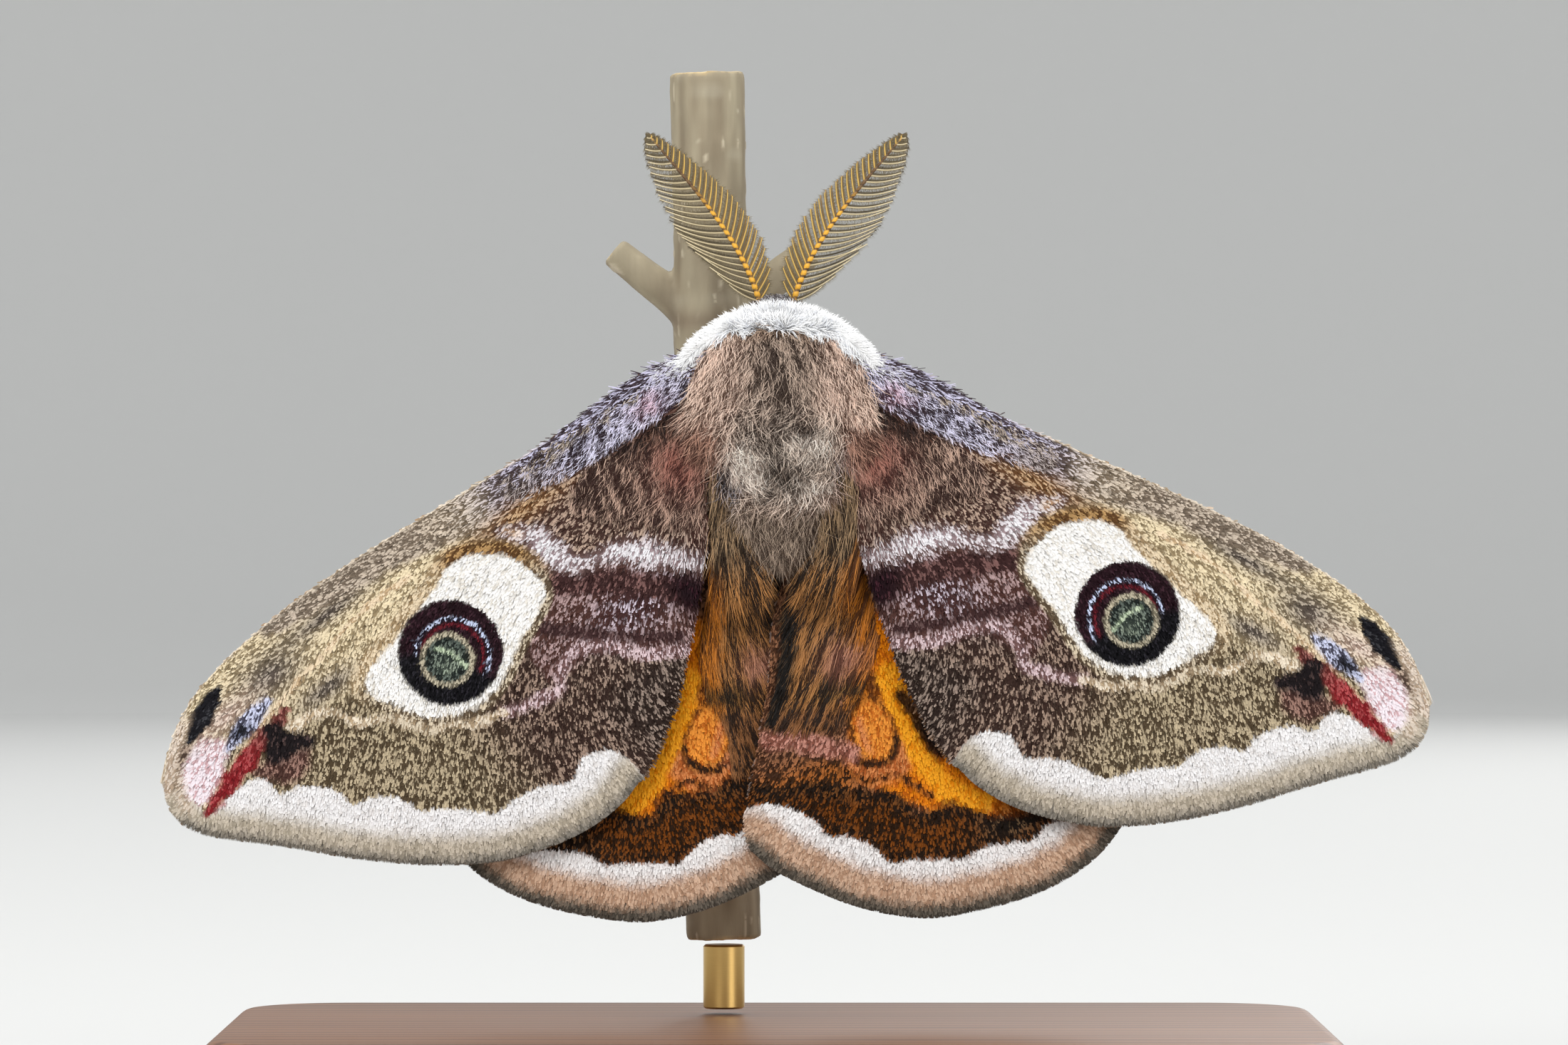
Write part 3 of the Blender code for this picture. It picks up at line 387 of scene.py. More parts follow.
def lay_bands(coat, mark):
    """Dark and pinkish bands across the middle, and the white band whose two lobes swell."""
    coat.lay(mark.along(BASE_SHADOW, 0.32, 0.5), (36, 24, 20), (90, 62, 52), 0.3)
    coat.lay(mark.along(SECOND_BAND, 0.32, 0.4), (60, 38, 38), (104, 80, 78), 0.25)
    coat.lay(mark.along(PINK_BAND, 0.30, 0.45), (112, 82, 80), (220, 196, 200), 0.46)
    coat.lay(mark.along(DARK_BAND, 0.66, 0.4), (58, 35, 34), (124, 90, 86), 0.29)
    coat.lay(blot(mark.points, DARK_HEART, (1.05, 1.6), 1.5), (30, 12, 18), (58, 26, 36), 0.22)
    gap, at = to_curve(mark.points, FIRST_BAND)
    lobes = 0.3 + 0.7 * np.maximum(np.exp(-((at - 0.22) / 0.12) ** 2), np.exp(-((at - 0.70) / 0.19) ** 2))
    edge = 0.25 + 0.6 * lobes - gap + 1.6 * mark.ragged
    coat.lay(smooth(0.5 + edge / 0.5), (104, 80, 76), (222, 212, 216), 0.15 + 0.4 * lobes)
    core = smooth(0.5 + (0.05 + 0.42 * lobes - gap + 1.4 * mark.ragged) / 0.35)
    coat.lay(core * lobes, (160, 140, 144), (240, 237, 240), 0.64)
    coat.lay(core * smooth((0.12 - at) / 0.1), (178, 140, 104), (226, 200, 176), 0.6)


def lay_white_patch(coat, mark):
    """The white patch round the eyespot, its tan and brown outline, and the cream line beyond it."""
    out, back = mark.points.T
    white = depth_inside(mark.points, WHITE_PATCH)
    upper = smooth((3.2 - back) / 2.5)
    outline = upper * smooth((white + 1.0) / 0.5)
    coat.lay(outline, (158, 134, 100), (228, 208, 176), 0.6)
    coat.lay(outline * smooth((16.6 - out) / 1.6), (92, 62, 34), (184, 146, 96), 0.33)
    coat.lay((1 - upper) * smooth((white + 0.55) / 0.2), (92, 76, 58), (214, 198, 172), 0.4)
    broken = 0.45 + 0.75 * (0.5 + 0.5 * noise(mark.points, 0.9, 17))
    coat.lay(mark.along(CREAM_LINE, 0.24, 0.25) * broken, (190, 166, 134), (240, 226, 204), 0.72)
    coat.lay(smooth(0.5 + (white + mark.ragged) / 0.25), (226, 220, 210), (249, 247, 244), 0.8)


def lay_eyespot(coat, mark):
    """Black disc with a broken blue-white arc, a red arc, a tan ring and a dark green middle."""
    points = mark.points
    gap = np.linalg.norm(points - EYE_CENTRE, axis=1)
    disc = smooth(0.5 + (EYE_RADIUS - gap + 0.6 * mark.ragged) / 0.16)
    offset = points - EYE_ARC_CENTRE
    arc_gap = np.linalg.norm(offset, axis=1)
    turned_by = np.arccos(np.clip(normalised(offset) @ EYE_ARC_MIDDLE, -1, 1))
    facing = smooth((EYE_ARC_HALF - turned_by) / 0.3)
    coat.lay(disc, (12, 11, 15), (38, 36, 42), 0.2)
    coat.lay(disc * facing * 0.7, (38, 14, 22), (66, 34, 44), 0.3)
    blue_arc = facing * smooth((0.14 - np.abs(arc_gap - EYE_ARC_RADIUS)) / 0.06)
    red_arc = facing * smooth((0.14 - np.abs(arc_gap - EYE_ARC_RADIUS + 0.31)) / 0.08)
    coat.lay(blue_arc, (26, 20, 34), (206, 216, 244), 0.55)
    coat.lay(red_arc, (70, 14, 24), (112, 34, 44), 0.5)
    ring = np.linalg.norm(points - EYE_RING_CENTRE, axis=1)
    inner, outer = EYE_RING
    coat.lay(smooth(0.5 + (outer - ring) / 0.14), (112, 105, 88), (192, 182, 158), 0.7)
    coat.lay(smooth(0.5 + (inner - ring) / 0.14), (28, 34, 32), (96, 106, 98), 0.34)
    lower = 0.35 + 0.65 * smooth((points[:, 1] - EYE_RING_CENTRE[1] + 0.4) / 0.8)
    coat.lay(smooth((inner * 0.8 - ring) / 0.3) * lower, (54, 62, 56), (150, 162, 144), 0.44)
    streak, _ = to_curve(points, EYE_STREAK)
    coat.lay(smooth((0.17 - streak) / 0.14), (128, 146, 118), (198, 212, 182), 0.7)


def lay_tip(coat, mark):
    """The wing's tip: a cream vein, a pink patch and the black and blue spots near the front edge."""
    points = mark.points
    coat.lay(mark.along(CREAM_VEIN, 0.13, 0.15), (186, 158, 122), (232, 210, 178), 0.7)
    coat.lay(mark.within(PINK_TIP, 0.5), (206, 168, 172), (244, 232, 238), 0.7)
    coat.lay(blot(points, (29.6, -1.45), (2.0, 0.75)), (152, 128, 114), (222, 202, 188), 0.56)
    black = mark.along(APICAL_SPOT, 0.52, 0.22, lambda at: 0.2 + 0.85 * np.sin(math.pi * at) ** 0.7)
    coat.lay(black, (20, 19, 24), (58, 58, 62), 0.15)
    blue = mark.along(SECOND_SPOT, 0.42, 0.3, lambda at: 0.6 + 0.5 * np.sin(math.pi * at))
    coat.lay(blue, (70, 68, 84), (206, 210, 236), 0.55)
    coat.lay(blot(points, (29.4, -0.35), (0.62, 0.4), 1.5), (22, 21, 26), (80, 84, 104), 0.2)


def lay_over_fringe(coat, mark):
    """Marks over the fringe: the tip's tan rim, the red streak, the black wedge, the pale front edge."""
    points, (out, back) = mark.points, mark.points.T
    edge, _ = to_curve(points, FOREWING["costa"], EDGE_SAMPLES)
    margin = margin_of(FOREWING, points)
    rim = np.maximum(smooth((1.6 - margin) / 0.8) * smooth((margin - 0.2) / 1.0), smooth((0.9 - edge) / 0.4))
    near_tip = smooth((out - 30.5) / 1.5) * smooth((1.9 - back) / 0.8)
    coat.lay(near_tip * rim, (178, 156, 134), (222, 206, 190), 0.6)
    coat.lay(mark.within(WINE_PATCH, 0.6) * 0.8, (70, 40, 38), (150, 106, 100), 0.35)
    red, at = to_curve(points, RED_STREAK)
    width = 0.50 * (0.12 + 0.88 * np.sin(math.pi * at ** 0.85))
    streak = smooth(0.5 + (width - red + 1.6 * mark.ragged) / 0.3)
    coat.lay(streak, (126, 26, 32), (176, 76, 78), 0.38)
    coat.lay(streak * smooth((at - 0.5) / 0.3), (92, 44, 40), (156, 100, 92), 0.35)
    coat.lay(mark.within(BLACK_WEDGE, 0.4), (26, 20, 22), (76, 60, 58), 0.2)
    coat.lay(smooth((0.16 - edge) / 0.08) * smooth((out - 6) / 6), (170, 150, 124), (230, 216, 196), 0.7)


FOREWING_FRINGE = {
    "white": ((224, 220, 218), (241, 239, 239)), "tan": ((166, 155, 137), (196, 184, 166)),
    "grey": ((98, 93, 85), (126, 120, 111)), "tan_reach": (1.6, 1.2), "grey_reach": (0.5, 0.8),
}
HINDWING_FRINGE = {
    "white": ((222, 216, 214), (242, 239, 238)), "tan": ((174, 138, 112), (206, 172, 146)),
    "grey": ((70, 64, 56), (98, 90, 80)), "tan_reach": (2.1, 1.0), "grey_reach": (0.75, 0.8),
}
BAND_SAMPLES = 150


def lay_fringe(coat, mark, shape, scallops, paints):
    """White scallops along the outer margin, turning tan and then grey towards the edge."""
    back, tip = mark.points[:, 1], shape["margin"][0][1]
    depth = depth_inside(mark.points, [*scallops, *reversed(shape["margin"])], BAND_SAMPLES)
    band = smooth(0.5 + (depth + 0.5 * mark.ragged) / 0.16)
    gap = margin_of(shape, mark.points) + 0.8 * mark.ragged
    band = np.maximum(band, smooth((0.5 - gap) / 0.3) * (back > tip + 0.5))
    coat.lay(band, *paints["white"], 0.78)
    for name in ("tan", "grey"):
        reach, soft = paints[name + "_reach"]
        behind_tip = smooth((back - tip - 1.4) / 1.2) if name == "grey" else 1.0
        coat.lay(band * behind_tip * smooth(0.5 + (reach - gap) / soft), *paints[name], 0.55)


# Markings of the hindwing, in wing coordinates
HIND_SCALLOPS = [(19.8, -9.6), (21.0, -8.2), (22.2, -6.6), (23.0, -5.0), (22.9, -3.8), (23.35, -3.0),
                 (23.5, -2.4), (23.05, -0.5), (23.25, 1.0), (23.15, 1.4), (22.65, 2.9), (22.35, 4.5),
                 (22.0, 4.85), (21.1, 5.35), (20.3, 6.3), (19.85, 7.45), (19.3, 7.5), (18.2, 8.45),
                 (17.3, 9.8), (17.25, 10.8), (17.4, 11.6)]
HIND_WAVE = [(16.2, 10.6), (16.9, 9.4), (17.1, 8.1), (17.5, 6.8), (18.15, 5.6), (18.6, 4.4), (19.1, 3.5),
             (20.1, 2.8), (20.7, 1.9), (20.5, 0.8), (21.3, -0.3), (22.3, -1.6), (22.5, -3.2)]
ORANGE_FIELD = [(11.5, 4.2), (14.0, 4.6), (16.6, 5.6), (18.4, 4.8), (20.0, 2.8), (21.6, 0.2), (22.0, -3.4),
                (20.5, -7.0), (15.0, -6.0), (10.0, -2.0), (9.5, 1.5)]
ORANGE_SPOT, ORANGE_SPOT_REACH = np.array((15.4, 3.95)), np.array((1.5, 0.95))
YELLOW_STRIPE = [(12.9, 2.3), (15.1, 2.15), (17.4, 1.95), (19.5, 1.2), (20.8, -0.2)]
SPOT_ARC = [(16.2, 2.85), (17.1, 3.7), (17.0, 4.9), (16.1, 5.5)]
SECOND_ARC = [(17.1, 6.0), (17.9, 4.8), (17.9, 3.6), (18.6, 2.9), (19.5, 2.2)]
HIND_EYE, HIND_EYE_RADIUS = np.array((16.1, -1.35)), 2.5
HIND_PINK = [(14.3, 9.3), (14.6, 8.1), (15.3, 6.8), (16.2, 5.4)]
HIND_SHADE = [(12.0, 6.2), (12.6, 4.8), (12.9, 3.6), (13.3, 2.6)]
# Painted shadow that the forewing's inner edge casts on the right hindwing, in wing coordinates
HIND_FOREWING_SHADOW = [(14.2, 1.5), (14.9, 1.25), (16.0, 1.05), (16.9, 0.85), (17.7, 0.5)]
HIND_MARK_SHIFT = 0.5


def hindwing_coat(points, side):
    """Markings of the hindwing's upper side; the inner ones lie a little further down on the left. On the
    right a painted shadow of the forewing's edge is laid as well.
    """
    ragged = 0.12 * noise(points, 0.32, 15) + 0.10 * noise(points, 0.9, 16)
    mark = Marker(points, ragged)
    coat = Coat(len(points), (66, 40, 26), (146, 100, 72), 0.4)
    lay_orange_field(coat, Marker(points + (0, HIND_MARK_SHIFT * side), ragged), side)
    lay_dark_band(coat, mark)
    if side > 0:
        # painted shadow of the forewing's edge on the right hindwing
        coat.lay(mark.along(HIND_FOREWING_SHADOW, 0.34, 0.4) * 0.95, (18, 13, 10), (60, 40, 26), 0.16)
    lay_hind_eye(coat, mark)
    lay_fringe(coat, mark, HINDWING, HIND_SCALLOPS, HINDWING_FRINGE)
    return coat


def lay_orange_field(coat, mark, side):
    """The orange field with its round spot, the dark arcs beside it, a yellow stripe and a pink patch."""
    points, (out, back) = mark.points, mark.points.T
    coat.lay(smooth((out - 15.0) / 2) * smooth((back - 4.5) / 2), (56, 33, 14), (168, 98, 42), 0.46)
    coat.lay(mark.within(ORANGE_FIELD, 0.7), (184, 92, 6), (228, 130, 16), 0.66)
    coat.lay(mark.along(HIND_SHADE, 0.6, 0.6) * 0.85, (44, 26, 14), (140, 84, 36), 0.3)
    spot = (np.abs((points - ORANGE_SPOT) / ORANGE_SPOT_REACH) ** 2.6).sum(1) ** (1 / 2.6) + 0.6 * mark.ragged
    below = smooth((out - 15.8) / 1.0) * smooth((2.2 - spot) / 0.5)
    coat.lay(below * 0.8, (166, 88, 44), (206, 132, 84), 0.6)
    coat.lay(smooth((1.4 - spot) / 0.2) * 0.8, (60, 36, 16), (166, 100, 38), 0.46)
    coat.lay(smooth((1.1 - spot) / 0.2), (190, 100, 26), (232, 146, 56), 0.7)
    inner_side = smooth((back - ORANGE_SPOT[1] - 0.1) / 0.5)
    coat.lay(smooth((0.95 - spot) / 0.3) * inner_side * 0.7, (172, 92, 54), (210, 132, 88), 0.6)
    coat.lay(mark.along(SPOT_ARC, 0.16, 0.25) * 0.95, (36, 22, 12), (120, 72, 28), 0.26)
    coat.lay(mark.along(YELLOW_STRIPE, 0.62, 0.4), (222, 130, 6), (246, 166, 34), 0.75)
    coat.lay(mark.along(SECOND_ARC, 0.16, 0.35), (46, 26, 12), (150, 84, 32), 0.35)
    pink = 0.95 if side > 0 else 0.3
    coat.lay(mark.along(HIND_PINK, 0.5, 0.5) * pink, (128, 76, 62), (198, 140, 124), 0.55)


def lay_dark_band(coat, mark):
    """The brown band inside the fringe, darker along its wavy inner edge and in a blot near the tip."""
    beyond = depth_inside(mark.points, [*HIND_WAVE, *HIND_SCALLOPS], BAND_SAMPLES)
    coat.lay(smooth(0.5 + (beyond + mark.ragged) / 0.4), (40, 22, 6), (116, 62, 15), 0.45)
    coat.lay(mark.along(HIND_WAVE, 0.26, 0.5), (24, 16, 10), (92, 58, 28), 0.24)
    shade = smooth(0.5 + (0.3 - np.abs(beyond - 0.25) + mark.ragged) / 0.4) * (beyond < 0.9)
    coat.lay(shade * 0.6, (30, 18, 10), (110, 66, 30), 0.3)
    coat.lay(blot(mark.points, (22.2, -1.9), (0.9, 1.7)) * 0.85, (22, 15, 10), (110, 90, 66), 0.22)


def lay_hind_eye(coat, mark):
    """The hindwing's eyespot: a black disc with a blue ring, a tan ring and a dark middle."""
    gap = np.linalg.norm(mark.points - HIND_EYE, axis=1)
    coat.lay(smooth((HIND_EYE_RADIUS - gap) / 0.3), (14, 10, 10), (40, 30, 28), 0.15)
    coat.lay(smooth((0.2 - np.abs(gap - 1.6)) / 0.1), (90, 100, 130), (196, 208, 236), 0.6)
    coat.lay(smooth((1.1 - gap) / 0.2), (150, 130, 92), (196, 176, 134), 0.6)
    coat.lay(smooth((0.7 - gap) / 0.2), (24, 22, 24), (60, 58, 56), 0.2)


UNDERSIDE = {"forewing": (178, 138, 104), "hindwing": (176, 156, 146)}
UNDERSIDE_SHARE = 0.38
WING_LEVEL = 0.86


def wing_colour(wing, points, chance, vary):
    """One colour of a wing's markings for each place."""
    coat = forewing_coat(points) if wing.kind == "forewing" else hindwing_coat(points, wing.side)
    return coat.pick(chance, vary) * WING_LEVEL


def underside(wing, colours):
    """The paler and browner form of a wing's colours that its underside has."""
    return mix(colours, srgb(*UNDERSIDE[wing.kind]), np.full(len(colours), UNDERSIDE_SHARE))


def set_inputs(node, **inputs):
    """Set a shader node's inputs; a space in an input's name is written as an underscore here."""
    for name, value in inputs.items():
        node.inputs[name.replace("_", " ")].default_value = value
    return node


def add_node(material, kind, **inputs):
    """A new node in a material, with some of its inputs set."""
    return set_inputs(material.node_tree.nodes.new("ShaderNode" + kind), **inputs)


def join(material, *links):
    """Each link gives a node and the name of its output, then a node and the name of its input."""
    for source, output, target, entry in links:
        material.node_tree.links.new(source.outputs[output], target.inputs[entry])


def add_relief(material, source, output, strength, distance):
    """A bump on the material's surface, from one node's output; distance is in metres."""
    relief = add_node(material, "Bump", Strength=strength, Distance=distance)
    shader = material.node_tree.nodes["Principled BSDF"]
    join(material, (source, output, relief, "Height"), (relief, "Normal", shader, "Normal"))
    return relief


def new_material(name, roughness, gloss=0.5, variation=0.25, grain=900.0, bump=0.0, coat=0.0, metallic=0.0,
                 stretch=(1.0, 1.0, 1.0)):
    """A painted surface: the mesh's own colours, broken up by fine noise, with a matching bump."""
    material = bpy.data.materials.new(name)
    material.use_nodes = True
    shader = set_inputs(material.node_tree.nodes["Principled BSDF"], Roughness=roughness,
                        Specular_IOR_Level=gloss, Coat_Weight=coat, Metallic=metallic)
    colour = add_node(material, "Attribute")
    colour.attribute_name = PAINT
    where = add_node(material, "TexCoord")
    mapping = add_node(material, "Mapping", Scale=stretch)
    fleck = add_node(material, "TexNoise", Scale=grain, Detail=4)
    span = add_node(material, "MapRange", To_Min=1 - variation, To_Max=1 + variation)
    product = add_node(material, "VectorMath")
    product.operation = "MULTIPLY"
    join(material, (where, "Object", mapping, "Vector"), (mapping, "Vector", fleck, "Vector"),
         (fleck, "Fac", span, "Value"), (colour, "Color", product, 0), (span, "Result", product, 1),
         (product, "Vector", shader, "Base Color"))
    if bump:
        add_relief(material, fleck, "Fac", bump, 0.0001)
    return material


def new_piece(name, points, faces, colours, material, bake=None):
    """A mesh piece from millimetre points, riding with the model; bake gives each point's place on OFBake."""
    mesh = bpy.data.meshes.new(name)
    mesh.from_pydata((points * MM).tolist(), [], faces.tolist())
    paint = mesh.color_attributes.new(PAINT, "FLOAT_COLOR", "POINT")
    rgba = np.concatenate([np.clip(colours, 0, 1), np.ones((len(colours), 1))], axis=1)
    paint.data.foreach_set("color", rgba.astype(np.float32).ravel())
    if bake is not None:
        layer = mesh.uv_layers.new(name=BAKE_MAP)
        layer.data.foreach_set("uv", bake[faces.ravel()].astype(np.float32).ravel())
    mesh.shade_smooth()
    mesh.materials.append(material)
    obj = bpy.data.objects.new(name, mesh)
    bpy.context.scene.collection.objects.link(obj)
    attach(obj, BODY)
    return obj


def copies_of(pattern, count, size):
    """Faces for a number of like pieces that each have the same number of points."""
    return (np.array(pattern)[None] + size * np.arange(count)[:, None, None]).reshape(-1, len(pattern[0]))


def grid_faces(rows, columns, closed=False):
    """Quads of a net of points, row by row; a closed net joins its last column to its first."""
    i, j = np.meshgrid(np.arange(rows - 1), np.arange(columns if closed else columns - 1), indexing="ij")
    here, beside = i * columns + j, i * columns + (j + 1) % columns
    return np.stack([here, beside, beside + columns, here + columns], -1).reshape(-1, 4)


# Wings: skin, scales and fringe
SKIN_ROWS, SKIN_COLUMNS, SKIN_SPAN = 165, 78, (0.004, 0.996)
SCALE_PATTERN = np.array([(0.0, 0.0), (0.55, 0.5), (0.55, -0.5), (1.0, 0.33), (1.0, -0.33)])
SCALE_FACES = [(0, 2, 1), (1, 2, 4), (1, 4, 3)]
SCALE_COUNT = {"forewing": 57000, "hindwing": 40000}
UNDER_SCALE_COUNT = 10000
SCALE_STREAK, HAIR_STREAK = (0.32, 0.11, 1.1), (1.3, 0.13, 0.4)
STREAK_TURN = 0.2
FRINGE_PATTERN = np.array([(0.0, 0.4), (0.0, -0.4), (0.6, 0.5), (0.6, -0.5), (1.0, 0.0)])
FRINGE_FACES = [(0, 1, 3), (0, 3, 2), (2, 3, 4)]
FRINGE_COUNT, FRINGE_START = 7000, 0.955
TRIAL_PLACES = 4000


def vein_rise(shape, across, along):
    """Height of the veins at fractions across and along a wing."""
    spread = np.maximum(0, (along - VEIN_FORK) / (1 - VEIN_FORK))
    chord = np.linalg.norm(through(shape["costa"], along) - through(shape["inner"], along), axis=-1)
    rise = np.zeros(np.shape(across))
    for root, margin in shape["veins"]:
        gap = np.abs(across - (root + (margin - root) * spread)) * chord
        rise = np.maximum(rise, np.exp(-(gap / VEIN_HALF_WIDTH) ** 2))
    return rise * VEIN_HEIGHT * (1 - 0.5 * along)


def wing_skin(wing):
    """The membrane, a thin closed sheet with its veins, painted on both sides."""
    rows, columns = np.linspace(0, EDGE, SKIN_ROWS), np.linspace(*SKIN_SPAN, SKIN_COLUMNS)
    along, across = (grid.ravel() for grid in np.meshgrid(rows, columns, indexing="ij"))
    flat = wing_patch(wing.shape, across, along)
    veins = vein_rise(wing.shape, across, along)
    front, back = wing.place(flat, MEMBRANE + veins), wing.place(flat, -MEMBRANE - 0.5 * veins)
    count, row = len(flat), SKIN_COLUMNS
    faces = grid_faces(SKIN_ROWS, row)
    rim = [*range(row), *range(2 * row - 1, count, row),
           *range(count - 2, count - row - 1, -1), *range(count - 2 * row, 0, -row)]
    edge = np.array([(a, b, b + count, a + count) for a, b in zip(rim, rim[1:] + rim[:1])])
    if wing.side < 0:
        faces, edge = faces[:, ::-1], edge[:, ::-1]
    chance = 0.5 + 0.42 * noise(flat, 0.16, 3) + 0.2 * noise(flat, 0.4, 4)
    top = wing_colour(wing, flat, chance, 0.35 + 0.1 * noise(flat, 0.3, 2))
    obj = new_piece(f"{wing.name}_skin", np.concatenate([front, back]),
                    np.concatenate([faces, faces[:, ::-1] + count, edge[:, ::-1]]),
                    np.concatenate([top, underside(wing, top)]), MATERIALS["membrane"])
    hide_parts(wing.name)


def scatter(shape, candidates, seed):
    """Places spread evenly over a wing, with the way that the scales point at each."""
    rng = np.random.default_rng(seed)
    i = np.arange(candidates)
    across = 0.003 + 0.994 * ((0.5 + i * GOLDEN_STEPS[0]) % 1)
    along = EDGE * ((0.5 + i * GOLDEN_STEPS[1]) % 1)
    small = 1e-3
    here = wing_patch(shape, across, along)
    sideways = (wing_patch(shape, np.minimum(across + small, 1), along) - here) / small
    onwards = (wing_patch(shape, across, np.minimum(along + small, 1)) - here) / small
    area = np.abs(sideways[:, 0] * onwards[:, 1] - sideways[:, 1] * onwards[:, 0])
    kept = rng.random(candidates) < area / area.max()
    rim = through(shape["margin"], np.minimum(across + small, 1)) - through(shape["margin"], across - small)
    outwards = normalised(np.stack([rim[:, 1], -rim[:, 0]], -1))
    turn = (smooth((along - 0.35) / 0.5) * smooth(across / 0.1))[:, None]
    heading = normalised(normalised(onwards) * (1 - turn) + outwards * turn)
    return here[kept], heading[kept], across[kept], along[kept], rng


def candidates_for(shape, wanted):
    """How many places to try so that about the wanted number stay."""
    here, *_ = scatter(shape, TRIAL_PLACES, 0)
    return int(wanted * TRIAL_PLACES / len(here))


def on_map(shape, flat, offsets):
    """Each tuft's patch on the map: its root's place on the flat wing, and a small square round it."""
    low = np.min([np.min(shape[k], axis=0) for k in ("costa", "margin", "inner")], axis=0)
    high = np.max([np.max(shape[k], axis=0) for k in ("costa", "margin", "inner")], axis=0)
    root = 0.01 + 0.98 * (flat - low) / (high - low)
    return (root[:, None] + offsets[None] * TUFT_PATCH).reshape(-1, 2)


def evened(values):
    """The same order of values, spread evenly from 0 to 1."""
    return (np.argsort(np.argsort(values)) + 0.5) / len(values)


def streaks(flat, heading, rng, streak):
    """Chances from 0 to 1 that run in streaks of a length and width the way the scales or hairs lie."""
    long, wide, looseness = streak
    step = np.round(np.arctan2(heading[:, 1], heading[:, 0]) / STREAK_TURN)
    angle = step * STREAK_TURN
    along = flat[:, 0] * np.cos(angle) + flat[:, 1] * np.sin(angle)
    beside = flat[:, 1] * np.cos(angle) - flat[:, 0] * np.sin(angle)
    cells = np.stack([along / long + 50 * step, beside / wide], -1)
    return evened(noise(cells, 1.0, 9) + looseness * rng.uniform(-1, 1, len(flat)))


def turned(heading, sway):
    """Directions on a wing turned by small angles, and those square to them."""
    ahead = np.stack([heading[:, 0] * np.cos(sway) - heading[:, 1] * np.sin(sway),
                      heading[:, 0] * np.sin(sway) + heading[:, 1] * np.cos(sway)], -1)
    return ahead, np.stack([-ahead[:, 1], ahead[:, 0]], -1)


def laid_out(flat, ahead, beside, pattern, length, width):
    """Points of many scales on a wing: the pattern's lengths and widths at each place."""
    t, w = pattern.T
    return (flat[:, None] + ahead[:, None] * (t[None] * length[:, None])[..., None]
            + beside[:, None] * (w[None] * width[:, None])[..., None])


def scale_kinds(wing, flat, across):
    """How hair-like, fine and level the scales are at places on a wing, and the room up to the margin."""
    fore = wing.kind == "forewing"
    costal = smooth((-0.4 - flat[:, 1]) / 0.8) * smooth((16 - flat[:, 0]) / 6) * fore
    hairy = np.maximum(smooth((9.0 - flat[:, 0]) / 7), 0.55 * costal)
    fine = 1 - 0.25 * (np.linalg.norm(flat - EYE_CENTRE, axis=1) < EYE_RADIUS * 1.1) * fore
    fine = fine * (1 - 0.45 * smooth((across - 0.94) / 0.05) - 0.35 * smooth((0.05 - across) / 0.04))
    room = margin_of(wing.shape, flat)
    return hairy, fine, smooth((room - 1.6) / 1.0), room


def wing_scales(wing, under=False):
    """Overlapping scales over a wing, long and hair-like at its base."""
    shape = wing.shape
    wanted = UNDER_SCALE_COUNT if under else SCALE_COUNT[wing.kind]
    seed = 21 + 2 * WINGS.index(wing) + under
    flat, heading, across, along, rng = scatter(shape, candidates_for(shape, wanted), seed)
    count = len(flat)
    hairy, fine, calm, room = scale_kinds(wing, flat, across)
    coarse, stretch, wander = (1.7, 0.1, 0.0) if under else (1.0, 0.5, 0.16)
    length = (0.33 + stretch * hairy) * rng.uniform(0.8, 1.25, count) * fine * coarse
    length = np.minimum(length, np.maximum(room, 0.08))
    width = (0.115 - 0.06 * hairy) * rng.uniform(0.8, 1.2, count) * fine * coarse
    ahead, beside = turned(heading, rng.normal(0, 0.15 + wander * hairy, count))
    lift = (0.03 + 0.025 * calm + 0.10 * hairy) * rng.uniform(0.6, 1.5, count)
    roll = rng.normal(0, 0.25, count) * (0.35 + 0.65 * calm)
    t, w = SCALE_PATTERN.T
    places = laid_out(flat, ahead, beside, SCALE_PATTERN, length, width)
    base = MEMBRANE + 0.02 + vein_rise(shape, across, along) + 0.02 * rng.random(count)
    rise = base[:, None] + lift[:, None] * t[None] + (roll * width)[:, None] * w[None]
    points = wing.place(places, -rise if under else rise).reshape(-1, 3)
    chance = streaks(flat, heading, rng, SCALE_STREAK)
    shown = flat + ahead * (0.6 * length)[:, None]
    colour = wing_colour(wing, shown, chance, rng.random(count))
    colour = underside(wing, colour) if under else colour
    # painted shade and light: each scale is darker at its root end, under the scale before it, and a little
    # lighter at its tip; less so near the margin
    shade = 1 + (0.2 * t - 0.14)[None, :, None] * (0.35 + 0.65 * calm)[:, None, None]
    faces = copies_of(SCALE_FACES, count, len(t))
    if (wing.side < 0) == under:
        faces = faces[:, ::-1]
    name = f"{wing.name}_{'under_' if under else ''}scales"
    new_piece(name, points, faces, (colour[:, None] * shade).reshape(-1, 3), MATERIALS["scale"],
              on_map(shape, flat, SCALE_PATTERN - (0.5, 0)))


def wing_fringe(wing):
    """Fine hair-scales standing out along the outer margin."""
    shape, count = wing.shape, FRINGE_COUNT
    rng = np.random.default_rng(61 + WINGS.index(wing))
    at = rng.random(count)
    flat = wing_patch(shape, at, rng.uniform(FRINGE_START, EDGE, count))
    room, nearest = to_curve(flat, shape["margin"], EDGE_SAMPLES)
    outwards = normalised(through(shape["margin"], nearest) - flat)
    ahead, beside = turned(outwards, rng.normal(0, 0.06, count))
    length = room + rng.uniform(-0.10, 0.02, count)
    width = 0.065 * rng.uniform(0.7, 1.2, count)
    places = laid_out(flat, ahead, beside, FRINGE_PATTERN, length, width)
    rise = rng.uniform(-0.06, 0.09, count)[:, None] * (1 + 0.3 * FRINGE_PATTERN[:, 0][None])
    points = wing.place(places, rise).reshape(-1, 3)
    tip = flat + ahead * length[:, None] * 0.7
    colour = wing_colour(wing, tip, rng.random(count), rng.random(count))
    each = len(FRINGE_PATTERN)
    new_piece(f"{wing.name}_fringe", points, copies_of(FRINGE_FACES, count, each),
              np.repeat(colour, each, axis=0), MATERIALS["hair"],
              on_map(shape, flat, FRINGE_PATTERN - (0.5, 0)))


